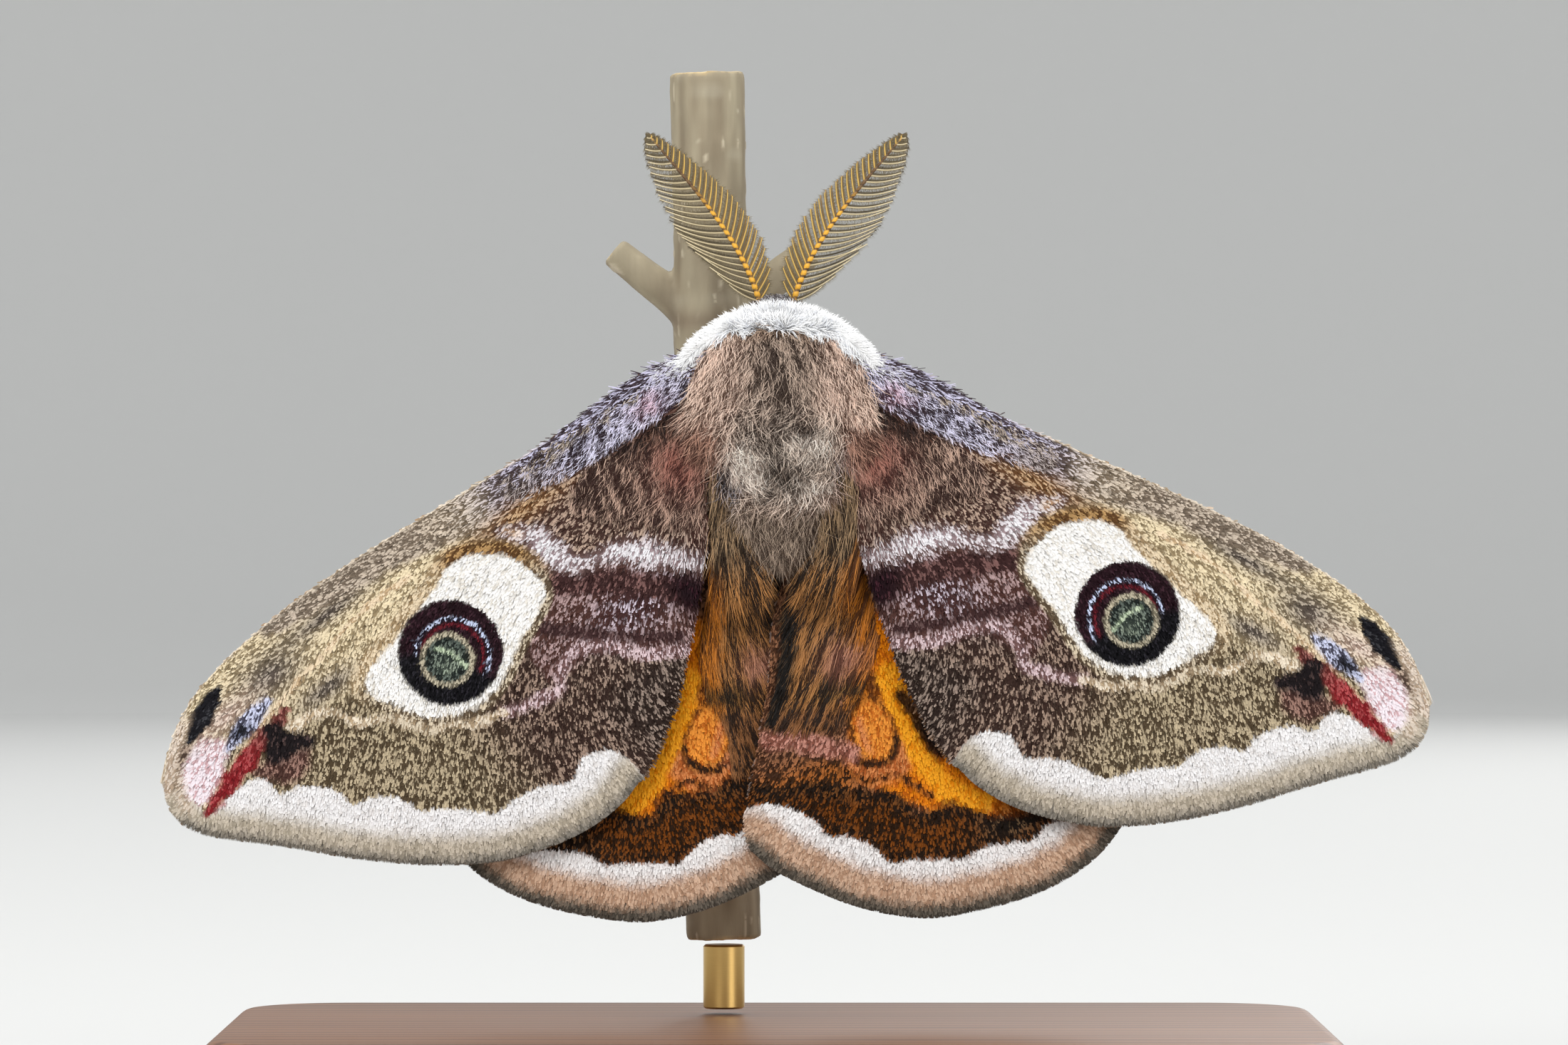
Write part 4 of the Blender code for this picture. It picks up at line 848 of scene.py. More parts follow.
# Hair: flat tapering strands over the body and the wings' inner parts
STRAND_STATIONS = np.array([0.0, 0.38, 0.74])
STRAND_WIDTHS = np.array([0.75, 1.0, 0.62])
STRAND_FACES = [(0, 1, 3), (0, 3, 2), (2, 3, 5), (2, 5, 4), (4, 5, 6)]
STRAND_POINTS = 7
HAIRS_PER_LOCK = 40
TOWARDS_VIEWER = (0.0, -1.0, 0.0)
FINE_HAIR = 0.042


def strands(name, roots, outward, lie, length, width, rise, root_colour, tip_colour, bake, slot, seed,
            gather=0.0, lock_size=1.0, curl=0.0, twist=0.5):
    """Strands that leave the skin, bend over along their lie and gather into locks towards their tips."""
    rng = np.random.default_rng(seed)
    count = len(roots)
    outward = normalised(outward)
    lie = normalised(lie - outward * (lie * outward).sum(1, keepdims=True))
    beside = np.cross(lie, outward)
    length, rise = np.broadcast_to(length, count), np.broadcast_to(rise, count)
    bend, wave = rng.normal(0, 1, (2, count)) * curl
    t = np.append(STRAND_STATIONS, 1.0)
    reach = length[:, None] * t[None]
    up = rise[:, None] * np.sin(t * 2.2)[None]
    swing = length[:, None] * (bend[:, None] * (t ** 2)[None] + 0.5 * wave[:, None] * np.sin(4.7 * t)[None])
    path = (roots[:, None] + lie[:, None] * reach[..., None] + outward[:, None] * up[..., None]
            + beside[:, None] * swing[..., None])
    if gather:
        tips = path[:, -1]
        locks = max(4, int(count / (lock_size * HAIRS_PER_LOCK)))
        leaders = rng.choice(count, locks, replace=False)
        nearest = nearest_of(roots, roots[leaders])
        pull = (tips[leaders][nearest] - tips) * (gather * rng.uniform(0.4, 1.0, count))[:, None]
        path = path + pull[:, None] * (t ** 2)[None, :, None]
    roll = rng.normal(0, twist, count)[:, None]
    flat = normalised(beside * np.cos(roll) + outward * np.sin(roll))
    half = 0.5 * np.broadcast_to(width, count)[:, None] * STRAND_WIDTHS[None]
    left = path[:, :-1] + flat[:, None] * half[..., None]
    right = path[:, :-1] - flat[:, None] * half[..., None]
    sides = np.stack([left, right], axis=2).reshape(count, -1, 3)
    points = np.concatenate([sides, path[:, -1:]], axis=1)
    t_all = np.append(np.repeat(STRAND_STATIONS, 2), 1.0)
    blend = (t_all ** 0.8)[None, :, None]
    colours = root_colour[:, None] * (1 - blend) + tip_colour[:, None] * blend
    offsets = np.stack([t_all - 0.5, np.tile((0.4, -0.4), 4)[:STRAND_POINTS]], -1)
    places = (bake[:, None] + offsets[None] * TUFT_PATCH).reshape(-1, 2)
    new_piece(name, points.reshape(-1, 3), copies_of(STRAND_FACES, count, STRAND_POINTS),
              colours.reshape(-1, 3), MATERIALS["hair"], places)


def nearest_of(points, centres, block=2000):
    """For each point, which centre is nearest, worked out a block of points at a time."""
    nearest = np.empty(len(points), int)
    for start in range(0, len(points), block):
        part = points[start:start + block]
        nearest[start:start + block] = ((part[:, None] - centres[None]) ** 2).sum(2).argmin(1)
    return nearest


# Body
THORAX_CENTRE, THORAX_RADII = np.array((0.15, -0.6, 36.6)), np.array((3.0, 2.75, 3.7))
THORAX_SQUARENESS, THORAX_TOP = 0.72, 4.9
HEAD_CENTRE, HEAD_RADII = np.array((0.05, 0.9, 41.4)), np.array((1.45, 1.35, 1.2))
NECK_CENTRE, NECK_RADII = np.array((0.1, 0.2, 40.3)), np.array((1.9, 1.7, 1.4))
ABDOMEN_TOP, ABDOMEN_TAIL, ABDOMEN_RADIUS = np.array((0, 1.5, 35.0)), np.array((0, 2.3, 20.6)), 1.85
ABDOMEN_BALLS, COLLAR_BALLS = 30, 25
SKIN_VOXEL, SKIN_SOFTENING = 0.22, 6
EYE_OFFSET, EYE_BALL_RADIUS = (1.45, 0.35, 0.3), 0.8


def add_ball(bm, centre, radii, squareness=1.0, top=None):
    """A rounded form; top is its height above the centre where that differs from the lower radius."""
    ball = bmesh.ops.create_uvsphere(bm, u_segments=32, v_segments=20, radius=1)
    for vertex in ball["verts"]:
        co = vertex.co
        side = math.hypot(co.x, co.y)
        if side > 1e-6:
            fuller = side ** squareness / side
            co.x, co.y = co.x * fuller, co.y * fuller
        co.z = math.copysign(abs(co.z) ** squareness, co.z)
        height = top if top and co.z > 0 else radii[2]
        vertex.co = Vector((centre[0] + co.x * radii[0], centre[1] + co.y * radii[1],
                            centre[2] + co.z * height))


def abdomen_radius(t):
    """The abdomen's radius from its front, 0, to its tail, 1."""
    return ABDOMEN_RADIUS * (0.2 + 0.8 * np.sin(math.pi * (0.18 + 0.8 * t)) ** 0.6)


def remeshed(bm, voxel, rounds):
    """Fuse overlapping closed forms into one skin of even faces; gives points and quads in millimetres."""
    mesh = bpy.data.meshes.new("fusing")
    bm.to_mesh(mesh)
    bm.free()
    obj = bpy.data.objects.new("fusing", mesh)
    bpy.context.scene.collection.objects.link(obj)
    remesh = obj.modifiers.new("skin", "REMESH")
    remesh.mode, remesh.voxel_size = "VOXEL", voxel
    soften = obj.modifiers.new("soften", "SMOOTH")
    soften.iterations, soften.factor = rounds, 0.5
    bpy.context.view_layer.update()
    fused = bpy.data.meshes.new_from_object(obj.evaluated_get(bpy.context.evaluated_depsgraph_get()))
    points = np.empty(len(fused.vertices) * 3)
    fused.vertices.foreach_get("co", points)
    normals = np.empty(len(fused.vertices) * 3)
    fused.vertices.foreach_get("normal", normals)
    faces = np.array([p.vertices[:] for p in fused.polygons])
    bpy.data.objects.remove(obj)
    bpy.data.meshes.remove(mesh)
    bpy.data.meshes.remove(fused)
    return points.reshape(-1, 3), faces, normals.reshape(-1, 3)


# Places on the back, each with x, z and its reach in both
# The pale places are painted highlights on the curled hair of the back
PAINTED_HIGHLIGHTS = [(-1.3, 34.4, 0.5, 0.75), (-0.9, 33.4, 0.45, 0.4), (1.7, 32.7, 0.8, 0.45), (1.5, 35.0, 0.5, 0.6)]
DARK_BACK_SPOTS = [(0.6, 33.5, 1.0, 0.45), (1.1, 35.9, 0.5, 0.35), (-0.2, 32.6, 0.5, 0.3)]
GREY_SIDES = [(-2.1, 32.9, 0.35, 1.1), (3.2, 33.7, 0.4, 1.1)]
RING_STEP = 1.75


def body_coat(points):
    """Colours of the body's hair."""
    x, y, z = points.T

    def spot(at_x, at_z, reach_x, reach_z, power=2):
        return np.exp(-np.abs((x - at_x) / reach_x) ** power - np.abs((z - at_z) / reach_z) ** power)

    flat = points[:, (0, 2)]
    x = x + 0.35 * noise(flat, 0.8, 37)
    z = z + 0.35 * noise(flat, 0.7, 38)
    coat = Coat(len(points), (90, 66, 54), (230, 202, 184), 0.53)
    coat.lay(spot(0.3, 39.2, 1.9, 4.6, 4), (56, 43, 36), (188, 166, 149), 0.43)
    coat.lay(smooth((z - 40.2) / 0.9) * 0.6, (92, 70, 56), (166, 138, 114), 0.42)
    ruddy = smooth((36.6 - z) / 1.2) * smooth((np.abs(x - 0.2) - 2.7) / 0.8)
    coat.lay(ruddy, (70, 44, 36), (180, 138, 118), 0.44)
    coat.lay(spot(0.3, 34.2, 2.3, 2.5, 4), (48, 37, 31), (214, 196, 180), 0.48)
    # painted highlights on the curled hair of the back
    for place in PAINTED_HIGHLIGHTS:
        coat.lay(spot(*place) * 0.85, (160, 142, 128), (246, 238, 228), 0.7)
    # darker spots on the back
    for place in DARK_BACK_SPOTS:
        coat.lay(spot(*place), (22, 16, 12), (82, 64, 52), 0.22)
    for place in GREY_SIDES:
        coat.lay(spot(*place), (30, 29, 34), (128, 126, 134), 0.34)
    coat.lay(smooth((32.2 - z) / 1.0), (62, 48, 39), (156, 137, 120), 0.44)
    behind = smooth((y - 0.8) / 1.2)
    coat.lay(behind, (96, 76, 64), (160, 138, 122), 0.45)
    rings = 0.5 + 0.5 * np.cos((z - 34.0) / RING_STEP * 2 * math.pi)
    belly = behind * smooth((33.5 - z) / 1.5)
    coat.lay(belly * smooth((rings - 0.62) / 0.2), (156, 142, 132), (206, 196, 188), 0.6)
    coat.lay(smooth((z - 41.6) / 0.4), (86, 78, 76), (190, 186, 188), 0.5)
    ruff = np.abs(z - collar_at(x)[2]) < 0.6
    coat.lay(ruff * (y < -0.5) * (np.abs(x) < COLLAR_HALF_WIDTH), (236, 238, 244), (255, 255, 255), 0.6)
    return coat


def body_skin():
    """One skin over head, thorax, abdomen and the inner part of the collar."""
    bm = bmesh.new()
    add_ball(bm, THORAX_CENTRE, THORAX_RADII, THORAX_SQUARENESS, THORAX_TOP - 0.1)
    for x in np.linspace(-COLLAR_HALF_WIDTH, COLLAR_HALF_WIDTH, COLLAR_BALLS):
        add_ball(bm, collar_at(x), [float(collar_core(x))] * 3)
    add_ball(bm, HEAD_CENTRE, HEAD_RADII)
    add_ball(bm, NECK_CENTRE, NECK_RADII)
    for i in range(ABDOMEN_BALLS):
        t = i / (ABDOMEN_BALLS - 1)
        radius = float(abdomen_radius(t))
        add_ball(bm, ABDOMEN_TOP + (ABDOMEN_TAIL - ABDOMEN_TOP) * t, (radius, radius, min(radius, 0.9)))
    points, faces, normals = remeshed(bm, SKIN_VOXEL, SKIN_SOFTENING)
    chance = 0.5 + 0.45 * noise(points, 0.25, 8)
    beside_collar = np.abs(points[:, 2] - collar_at(points[:, 0] - THORAX_CENTRE[0])[2]) < 0.7
    level = np.where(beside_collar & (points[:, 1] < -0.5), 0.95, 0.6)[:, None]
    colours = body_coat(points).pick(chance, 0.3 + 0.1 * noise(points, 0.5, 7)) * level
    obj = new_piece("body_skin", points, faces, colours, MATERIALS["skin"])
    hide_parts("head", "thorax", "abdomen", "collar")
    return points, faces, normals


def round_map(points):
    """Places on the body's own unwrap: the turn round it, and the height."""
    turn = np.arctan2(points[:, 0] - THORAX_CENTRE[0], -(points[:, 1] - 0.8)) / (2 * math.pi) + 0.5
    height = (points[:, 2] - 19.0) / 25.0
    return np.clip(np.stack([0.01 + 0.98 * turn, height], -1), 0.003, 0.997)


def spread_on(points, faces, normals, count, seed, weight):
    """Random places on a skin of quads, even by area times a weight for each face."""
    rng = np.random.default_rng(seed)
    a, b, c, d = (points[faces[:, k]] for k in range(4))
    area = np.linalg.norm(np.cross(c - a, d - b), axis=1) * weight((a + b + c + d) / 4)
    chosen = rng.choice(len(faces), count, p=area / area.sum())
    u, v = rng.random((2, count, 1))
    a, b, c, d = (part[chosen] for part in (a, b, c, d))
    roots = (a * (1 - u) + b * u) * (1 - v) + (d * (1 - u) + c * u) * v
    return roots, normalised(normals[faces[chosen]].mean(1)), rng


def body_hair(name, skin, count, seed, weight, lie, length, width, rise, **looks):
    """Hair over part of the body's skin."""
    roots, outward, rng = spread_on(*skin, count, seed, weight)
    tip = body_coat(roots).pick(rng.random(count), rng.random(count))
    way = lie(roots, rng)
    long = length * rng.uniform(0.75, 1.25, count)
    strands(name, roots, outward, way, long, width, rise * rng.uniform(0.6, 1.4, count), tip * 0.62, tip,
            round_map(roots), "brown_fur", seed, **looks)


FUR_BLEND = 0.3
CAPE_OUTLINE = [(-3.3, 40.1), (-2.4, 41.0), (-1.2, 41.4), (0.4, 41.5), (2.2, 41.3), (3.4, 40.6), (4.0, 39.6),
                (4.2, 38.5), (4.4, 37.3), (4.1, 36.3), (3.4, 35.6), (2.0, 35.3), (0.3, 35.6), (-1.5, 35.3),
                (-2.8, 35.6), (-3.5, 36.3), (-3.8, 37.2), (-3.7, 38.4), (-3.6, 39.4)]
WOOL_OUTLINE = [(-2.3, 37.2), (0.2, 37.6), (2.9, 37.2), (3.1, 35.8), (2.8, 34.4), (2.3, 33.0), (1.7, 31.9),
                (1.1, 31.0), (0.2, 30.3), (-0.7, 31.0), (-1.3, 31.9), (-1.9, 33.0), (-2.4, 34.4),
                (-2.6, 35.8)]
CAPE_COUNT, WOOL_COUNT, FUR_WIDTH, FUR_LEVEL = 34000, 18000, 0.038, 1.36


def dorsal(x, z):
    """Depth of the surface that the fur of the back grows on: the thorax, running out over the wings."""
    across = (x - THORAX_CENTRE[0]) / THORAX_RADII[0]
    up = (z - THORAX_CENTRE[2]) / np.where(z > THORAX_CENTRE[2], THORAX_TOP, THORAX_RADII[2])
    side = np.maximum(1 - np.abs(up) ** (2 / THORAX_SQUARENESS), 0) ** (THORAX_SQUARENESS / 2)
    dome = THORAX_CENTRE[1] - THORAX_RADII[1] * np.sqrt(np.maximum(side ** 2 - across ** 2, 0))
    wings = wing_plane(x) - MEMBRANE
    return -FUR_BLEND * np.logaddexp(-dome / FUR_BLEND, -wings / FUR_BLEND)


def on_dorsal(x, z):
    """Places and outward directions on the fur's surface."""
    small = 0.02
    slope_x = (dorsal(x + small, z) - dorsal(x - small, z)) / (2 * small)
    slope_z = (dorsal(x, z + small) - dorsal(x, z - small)) / (2 * small)
    outward = np.stack([slope_x, -np.ones(len(x)), slope_z], -1)
    return np.stack([x, dorsal(x, z), z], -1), normalised(outward)


def fur_roots(outline, count, rng):
    """Places inside an outline, thinning out at its edge."""
    low, high = np.min(outline, axis=0) - 0.2, np.max(outline, axis=0) + 0.2
    flat = rng.uniform(low, high, (3 * count, 2))
    return flat[depth_inside(flat, outline) > rng.uniform(-0.25, 0.2, len(flat))][:count]


def dorsal_fur(name, flat, lie, length, rise, rng, **looks):
    """Hair on the surface of the back, in the body's colours where each hair's middle lies."""
    x, z = flat.T
    roots, outward = on_dorsal(x, z)
    length = length * rng.uniform(0.65, 1.25, len(x))
    shown = roots + lie * (0.6 * length)[:, None]
    chance = streaks(flat, lie[:, (0, 2)], rng, HAIR_STREAK)
    tip = body_coat(shown).pick(chance, rng.random(len(x))) * FUR_LEVEL
    strands(name, roots, outward, lie, length, FUR_WIDTH, rise * rng.uniform(0.4, 1.5, len(x)), tip * 0.4,
            tip, round_map(roots), "brown_fur", **looks)


def cape_hair():
    """Fur of the thorax: up under the collar, then down and out over the shoulders."""
    rng = np.random.default_rng(41)
    flat = fur_roots(CAPE_OUTLINE, CAPE_COUNT, rng)
    x, z = flat.T
    turn = 0.13 * (x - 0.2) * smooth((z - 34.5) / 1.5)
    turn = turn + 0.28 * noise(flat, 1.1, 31) + 0.28 * noise(flat, 0.42, 36)
    fall = -1 + 1.3 * smooth((z - 40.8) / 0.5)
    lie = np.stack([turn, 0 * x, fall], -1) + rng.normal(0, 0.16, (len(x), 3))
    length = np.interp(z, (35.4, 37.0, 39.0, 40.8), (2.5, 2.2, 1.7, 0.7))
    dorsal_fur("thorax_hair", flat, lie, length, 0.45, rng, seed=42, gather=0.3, lock_size=0.35, curl=0.22)


def wool_hair():
    """Curly grey fur in the middle of the back, closing to a point below."""
    rng = np.random.default_rng(43)
    flat = fur_roots(WOOL_OUTLINE, WOOL_COUNT, rng)
    x, z = flat.T
    curly = smooth((z - 31.8) / 1.2)
    turn = -0.17 * (x - 0.2) * (1 - curly) + 0.14 * noise(flat, 0.5, 35)
    turn += curly * (0.8 * noise(flat, 0.8, 32) + 0.45 * noise(flat, 0.35, 33))
    fall = -1 + 0.55 * curly * noise(flat, 0.6, 34)
    lie = np.stack([turn, 0 * x, fall], -1) + rng.normal(0, 0.14, (len(x), 3))
    length = np.interp(z, (30.3, 32.0, 34.0, 37.0), (2.2, 2.4, 1.5, 1.7))
    dorsal_fur("thorax_wool", flat, lie, length, 0.55 + 0.2 * curly, rng, seed=44, gather=0.35,
               lock_size=0.35, curl=0.2 + 0.15 * curly)


def back_hair(skin):
    """Shorter hair behind, over the abdomen and on the head."""
    def behind(p):
        return np.maximum(smooth((p[:, 1] - 0.6) / 1.0), smooth((32.2 - p[:, 2]) / 0.8)) * (p[:, 2] < 41.0)

    def tail(p):
        return smooth((22.4 - p[:, 2]) / 0.8)

    def face(p):
        return smooth((p[:, 2] - 41.0) / 0.4)

    def downwards(roots, rng):
        return (0, 0, -1.0) + rng.normal(0, 0.2, roots.shape)

    def forwards(roots, rng):
        return roots * (0.3, 0, 0) + (0, -0.6, 0.9) + rng.normal(0, 0.35, roots.shape)

    body_hair("body_hair", skin, 10000, 45, behind, downwards, 1.2, 0.09, 0.30, gather=0.35, curl=0.12)
    body_hair("tail_tuft", skin, 1800, 46, tail, downwards, 1.5, 0.07, 0.15, gather=0.5)
    body_hair("head_hair", skin, 4200, 47, face, forwards, 0.75, 0.05, 0.35, gather=0.35, curl=0.2)


COLLAR_HALF_WIDTH, COLLAR_TOP, COLLAR_Y, COLLAR_WRAP = 5.0, 41.82, -1.95, -0.035
COLLAR_SAG, COLLAR_DROOP = 0.085, 0.0006
COLLAR_CORE, COLLAR_TAPER, COLLAR_COUNT, COLLAR_DEPTH = 0.25, 0.7, 19000, 0.3
WISP_COUNT = 3200


def collar_at(x):
    """The middle line of the collar at places across the body, kept close to the fur's surface."""
    x = np.asarray(x, float)
    z = COLLAR_TOP - COLLAR_SAG * x ** 2 - COLLAR_DROOP * x ** 4
    y = np.maximum(COLLAR_Y + COLLAR_WRAP * x * x, dorsal(x + THORAX_CENTRE[0], z) - COLLAR_DEPTH)
    return np.stack([x + THORAX_CENTRE[0], y, z])


def collar_core(x):
    """The collar's inner thickness, less towards its ends."""
    return COLLAR_CORE * (1 - COLLAR_TAPER * (np.asarray(x) / COLLAR_HALF_WIDTH) ** 2)


def white_tips(rng, count):
    """White of slightly varying strength."""
    return np.tile(srgb(255, 255, 255), (count, 1)) * rng.uniform(0.92, 1.0, count)[:, None]


def collar_hair():
    """Dense white hair over the front of the thorax, lying towards the head, with loose ends standing out."""
    rng = np.random.default_rng(51)
    count = COLLAR_COUNT
    x = COLLAR_HALF_WIDTH * rng.uniform(-1, 1, 2 * count)
    x = x[rng.random(2 * count) < smooth((COLLAR_HALF_WIDTH + 0.2 - np.abs(x)) / 1.3)][:count]
    slope = np.arctan(2 * COLLAR_SAG * x + 4 * COLLAR_DROOP * x ** 3)
    spread = np.stack([np.sin(slope), 0 * x, np.cos(slope)], -1)
    sideways = np.stack([np.cos(slope), 0 * x, -np.sin(slope)], -1)
    turn = np.radians(rng.uniform(-48, 105, count))[:, None]
    front = np.array((0, -1, 0))
    outward = front * np.cos(turn) + spread * np.sin(turn)
    over = (spread * np.cos(turn) - front * np.sin(turn)) * np.where(turn < -0.35, -0.7, 1.0)
    share = (x / COLLAR_HALF_WIDTH)[:, None]
    fan = 0.9 * share + 0.9 * share ** 5 + 0.2 * noise(x[:, None], 0.5, 53)[:, None]
    lie = over + sideways * fan + rng.normal(0, 0.16, (count, 3))
    share = share[:, 0]
    top = smooth(turn[:, 0] / 1.6)
    loose = rng.random(count) < 0.10 + 0.3 * np.abs(share) ** 4
    length = rng.uniform(0.28, 0.48, count) * np.where(loose, 2.2, 1.0) * (1 - 0.25 * share ** 2)
    rise = (0.05 + 0.14 * top) * rng.uniform(0.5, 1.3, count) * np.where(loose, 2.4, 1.0)
    roots = collar_at(x).T + outward * (collar_core(x) - 0.05)[:, None]
    tip = white_tips(rng, count)
    height = 0.1 + 0.8 * (turn[:, 0] + 0.9) / 2.8
    bake = np.stack([0.02 + 0.96 * (0.5 + 0.5 * x / COLLAR_HALF_WIDTH), height], -1)
    strands("collar_hair", roots, outward, lie, length, FINE_HAIR, rise, tip, tip, bake,
            "white_fur", 52, gather=0.15, lock_size=0.4, curl=0.14, twist=0.2)


def collar_wisps():
    """Loose white and lilac hair from the collar's ends, running out over the roots of the forewings."""
    rng = np.random.default_rng(54)
    count = 2 * WISP_COUNT
    side = np.repeat((-1.0, 1.0), WISP_COUNT)
    reach = rng.random(count)
    x = side * (3.4 + 2.6 * reach) + THORAX_CENTRE[0]
    z = 40.75 - 1.5 * reach - (0.9 + 0.4 * reach) * rng.random(count) ** 1.3
    roots, outward = on_dorsal(x, z)
    lie = np.stack([side * (0.75 + 0.2 * reach), 0 * x, -0.75 + 0 * x], -1) + rng.normal(0, 0.2, (count, 3))
    tip = mix(white_tips(rng, count), srgb(198, 190, 214), rng.random(count) * smooth((reach - 0.35) / 0.6))
    bake = np.stack([0.25 + 0.2 * side + 0.2 * reach + 0.25, 0.1 + 0.8 * (z - 38.0) / 2.5], -1)
    strands("collar_wisps", roots - outward * 0.1, outward, lie, rng.uniform(0.6, 1.3, count), FINE_HAIR,
            0.3 * rng.uniform(0.4, 1.3, count), tip * 0.85, tip, np.clip(bake, 0.01, 0.99), "white_fur", 55,
            gather=0.3, curl=0.18)


HIND_HAIR_LEVELS = (17.6, 18.8, 20.4, 21.7, 23.4, 25.3, 27.5, 29.5, 31.0, 34.0, 36.0)
HIND_HAIR_EDGES = {
    "left": ((-1.5, -1.3, -1.0, -0.8, -0.5, -0.4, -0.5, -1.0, -1.6, -2.0, -2.2),
             (-2.2, -2.4, -2.5, -2.9, -3.7, -3.9, -3.5, -3.2, -3.1, -3.1, -3.1)),
    "right": ((-0.9, -0.8, -0.5, -0.1, 0.4, 0.75, 1.0, 1.6, 2.0, 2.5, 2.7),
              (2.6, 2.8, 3.4, 4.0, 4.9, 5.5, 5.0, 4.5, 4.2, 4.1, 3.9))}
HIND_HAIR_LEAN = {"left": (0.5, 0.12), "right": (-0.52, -0.4)}
HIND_HAIR_LOW = {"left": 18.2, "right": 20.9}
HIND_HAIR_SEAM = {"left": 0.05, "right": 0.2}
HIND_HAIR_PINK = {"left": 0.25, "right": 0.68}
HIND_HAIR_COUNT = 15000


def hind_hair_coat(share, z, side_name):
    """Olive brown above, warmer below, orange outside; dark bars and a pinkish patch near the end."""
    coat = Coat(len(z), (50, 37, 26), (184, 152, 116), 0.42)
    coat.lay(smooth((30.5 - z) / 3) * 0.9, (42, 25, 11), (190, 129, 68), 0.41)
    coat.lay(smooth((share - 0.72) / 0.2) * smooth((29.5 - z) / 2), (96, 52, 12), (212, 128, 38), 0.5)
    coat.lay(smooth((21.8 - z) / 0.8), (48, 30, 18), (156, 104, 62), 0.38)
    pink = np.exp(-((share - HIND_HAIR_PINK[side_name]) / 0.26) ** 2 - ((z - 23.9) / 0.9) ** 2)
    coat.lay(pink * 0.9, (124, 76, 60), (204, 146, 124), 0.52)
    bars = np.exp(-((z - 22.3) / 0.5) ** 2) * smooth((share - 0.4) / 0.2)
    coat.lay(bars, (44, 32, 18), (128, 92, 48), 0.3)
    # darker along the inner edge where the two sides meet: partly the fold's own dark grey hair, partly
    # painted shadow between the two sides
    seam = smooth((HIND_HAIR_SEAM[side_name] - share) / 0.1) * smooth((29.0 - z) / 2)
    coat.lay(seam * 0.95, (18, 13, 9), (96, 74, 52), 0.22)
    return coat


def hindwing_hair():
    """Long hair of the hindwings' inner parts, closing towards the middle from both sides."""
    top = HIND_HAIR_LEVELS[-1]
    for wing in WINGS[2:]:
        low = HIND_HAIR_LOW[wing.side_name]
        rng = np.random.default_rng(71 + wing.side)
        edges = HIND_HAIR_EDGES[wing.side_name]
        places = rng.uniform((np.min(edges), low), (np.max(edges), top), (5 * HIND_HAIR_COUNT, 2))
        inner, outer = (np.interp(places[:, 1], HIND_HAIR_LEVELS, edge) for edge in edges)
        share = (places[:, 0] - inner) / (outer - inner)
        kept = np.flatnonzero((share > 0) & (share < 1))[:HIND_HAIR_COUNT]
        count, share = len(kept), share[kept]
        x, z = places[kept].T
        down = (top - z) / (top - low)
        roots = wing.place(wing.locate(x, z), 0.14 + 0.3 * (1 - down) * rng.random(count))
        over = z > 29.0
        roots[over, 1] = np.minimum(roots[over, 1], dorsal(x[over], z[over]) - 0.05)
        outward = np.tile(TOWARDS_VIEWER, (count, 1))
        near_lean, far_lean = HIND_HAIR_LEAN[wing.side_name]
        lean = (near_lean * (1 - share) + far_lean * share) * smooth((34.5 - z) / 4)
        lean = lean + 0.12 * noise(places[kept], 0.9, 35 + wing.side) + 0.08 * noise(places[kept], 0.3, 39)
        lie = np.stack([lean, 0 * x, -np.ones(count)], -1) + rng.normal(0, 0.07, (count, 3))
        length = np.interp(z, (18.2, 20.9, 23.5, 28.0, 36.0), (0.8, 1.2, 2.0, 3.4, 3.8))
        length = length * rng.uniform(0.6, 1.15, count) * (0.5 + 0.5 * smooth((share + 0.05) / 0.35))
        chance = streaks(places[kept], lie[:, (0, 2)], rng, HAIR_STREAK)
        tip = hind_hair_coat(share, z - 0.55 * length, wing.side_name).pick(chance, rng.random(count))
        bake = np.stack([0.02 + 0.96 * share, 0.02 + 0.96 * down], -1)
        strands(f"hindwing_hair_{wing.side_name}", roots, outward, lie, length, FUR_WIDTH,
                (0.34 - 0.2 * down) * rng.uniform(0.4, 1.5, count), tip * 0.55, tip, bake, "hindwing",
                73 + wing.side, gather=0.3, lock_size=0.5, curl=0.08)


FORE_HAIR_COUNT, COSTAL_HAIR_COUNT = 8000, 5200
FORE_HAIR_FIELD = [(-1.0, -0.1), (1.5, -0.2), (4.5, -0.4), (7.0, -0.5), (8.0, 0.6), (7.0, 1.9), (5.5, 3.0),
                   (4.0, 4.2), (3.0, 4.6), (1.8, 3.2), (0.5, 1.8), (-0.8, 0.9)]
COSTAL_HAIR_FIELD = [(-1.6, -0.8), (0.5, -0.7), (4.0, -0.8), (7.5, -1.1), (10.5, -1.7), (10.5, -2.7),
                     (7.0, -2.5), (3.0, -2.2), (0.5, -1.8), (-1.2, -1.3)]
FORE_HAIR_LEVEL = 1.28


def base_hair_coat(flat):
    """Tan over dark brown, ruddy near the body, with a painted shadow line behind the front edge."""
    out, back = flat.T
    coat = Coat(len(flat), (54, 34, 28), (188, 158, 140), 0.4)
    ruddy = blot(flat, (1.9, 1.7), (2.0, 2.0))
    coat.lay(ruddy, (68, 33, 28), (160, 104, 90), 0.42)
    # painted shadow: a dark line along the wing's base, behind the front edge
    coat.lay(np.exp(-((back + 0.1) / 0.5) ** 2) * smooth((5.5 - out) / 3), (36, 24, 20), (104, 74, 60), 0.3)
    return coat


def costal_hair_coat(flat):
    """White and lilac over plum near the body, tan along the very edge and further out."""
    out, back = flat.T
    coat = Coat(len(flat), (46, 34, 42), (222, 218, 240), 0.47)
    coat.lay(blot(flat, (1.6, -1.4), (1.0, 0.6)) * 0.8, (86, 48, 60), (222, 186, 198), 0.5)
    coat.lay(smooth((-2.0 - back) / 0.4), (64, 52, 46), (186, 170, 152), 0.46)
    coat.lay(smooth((out - 6.5) / 4), (66, 52, 46), (190, 176, 170), 0.42)
    return coat


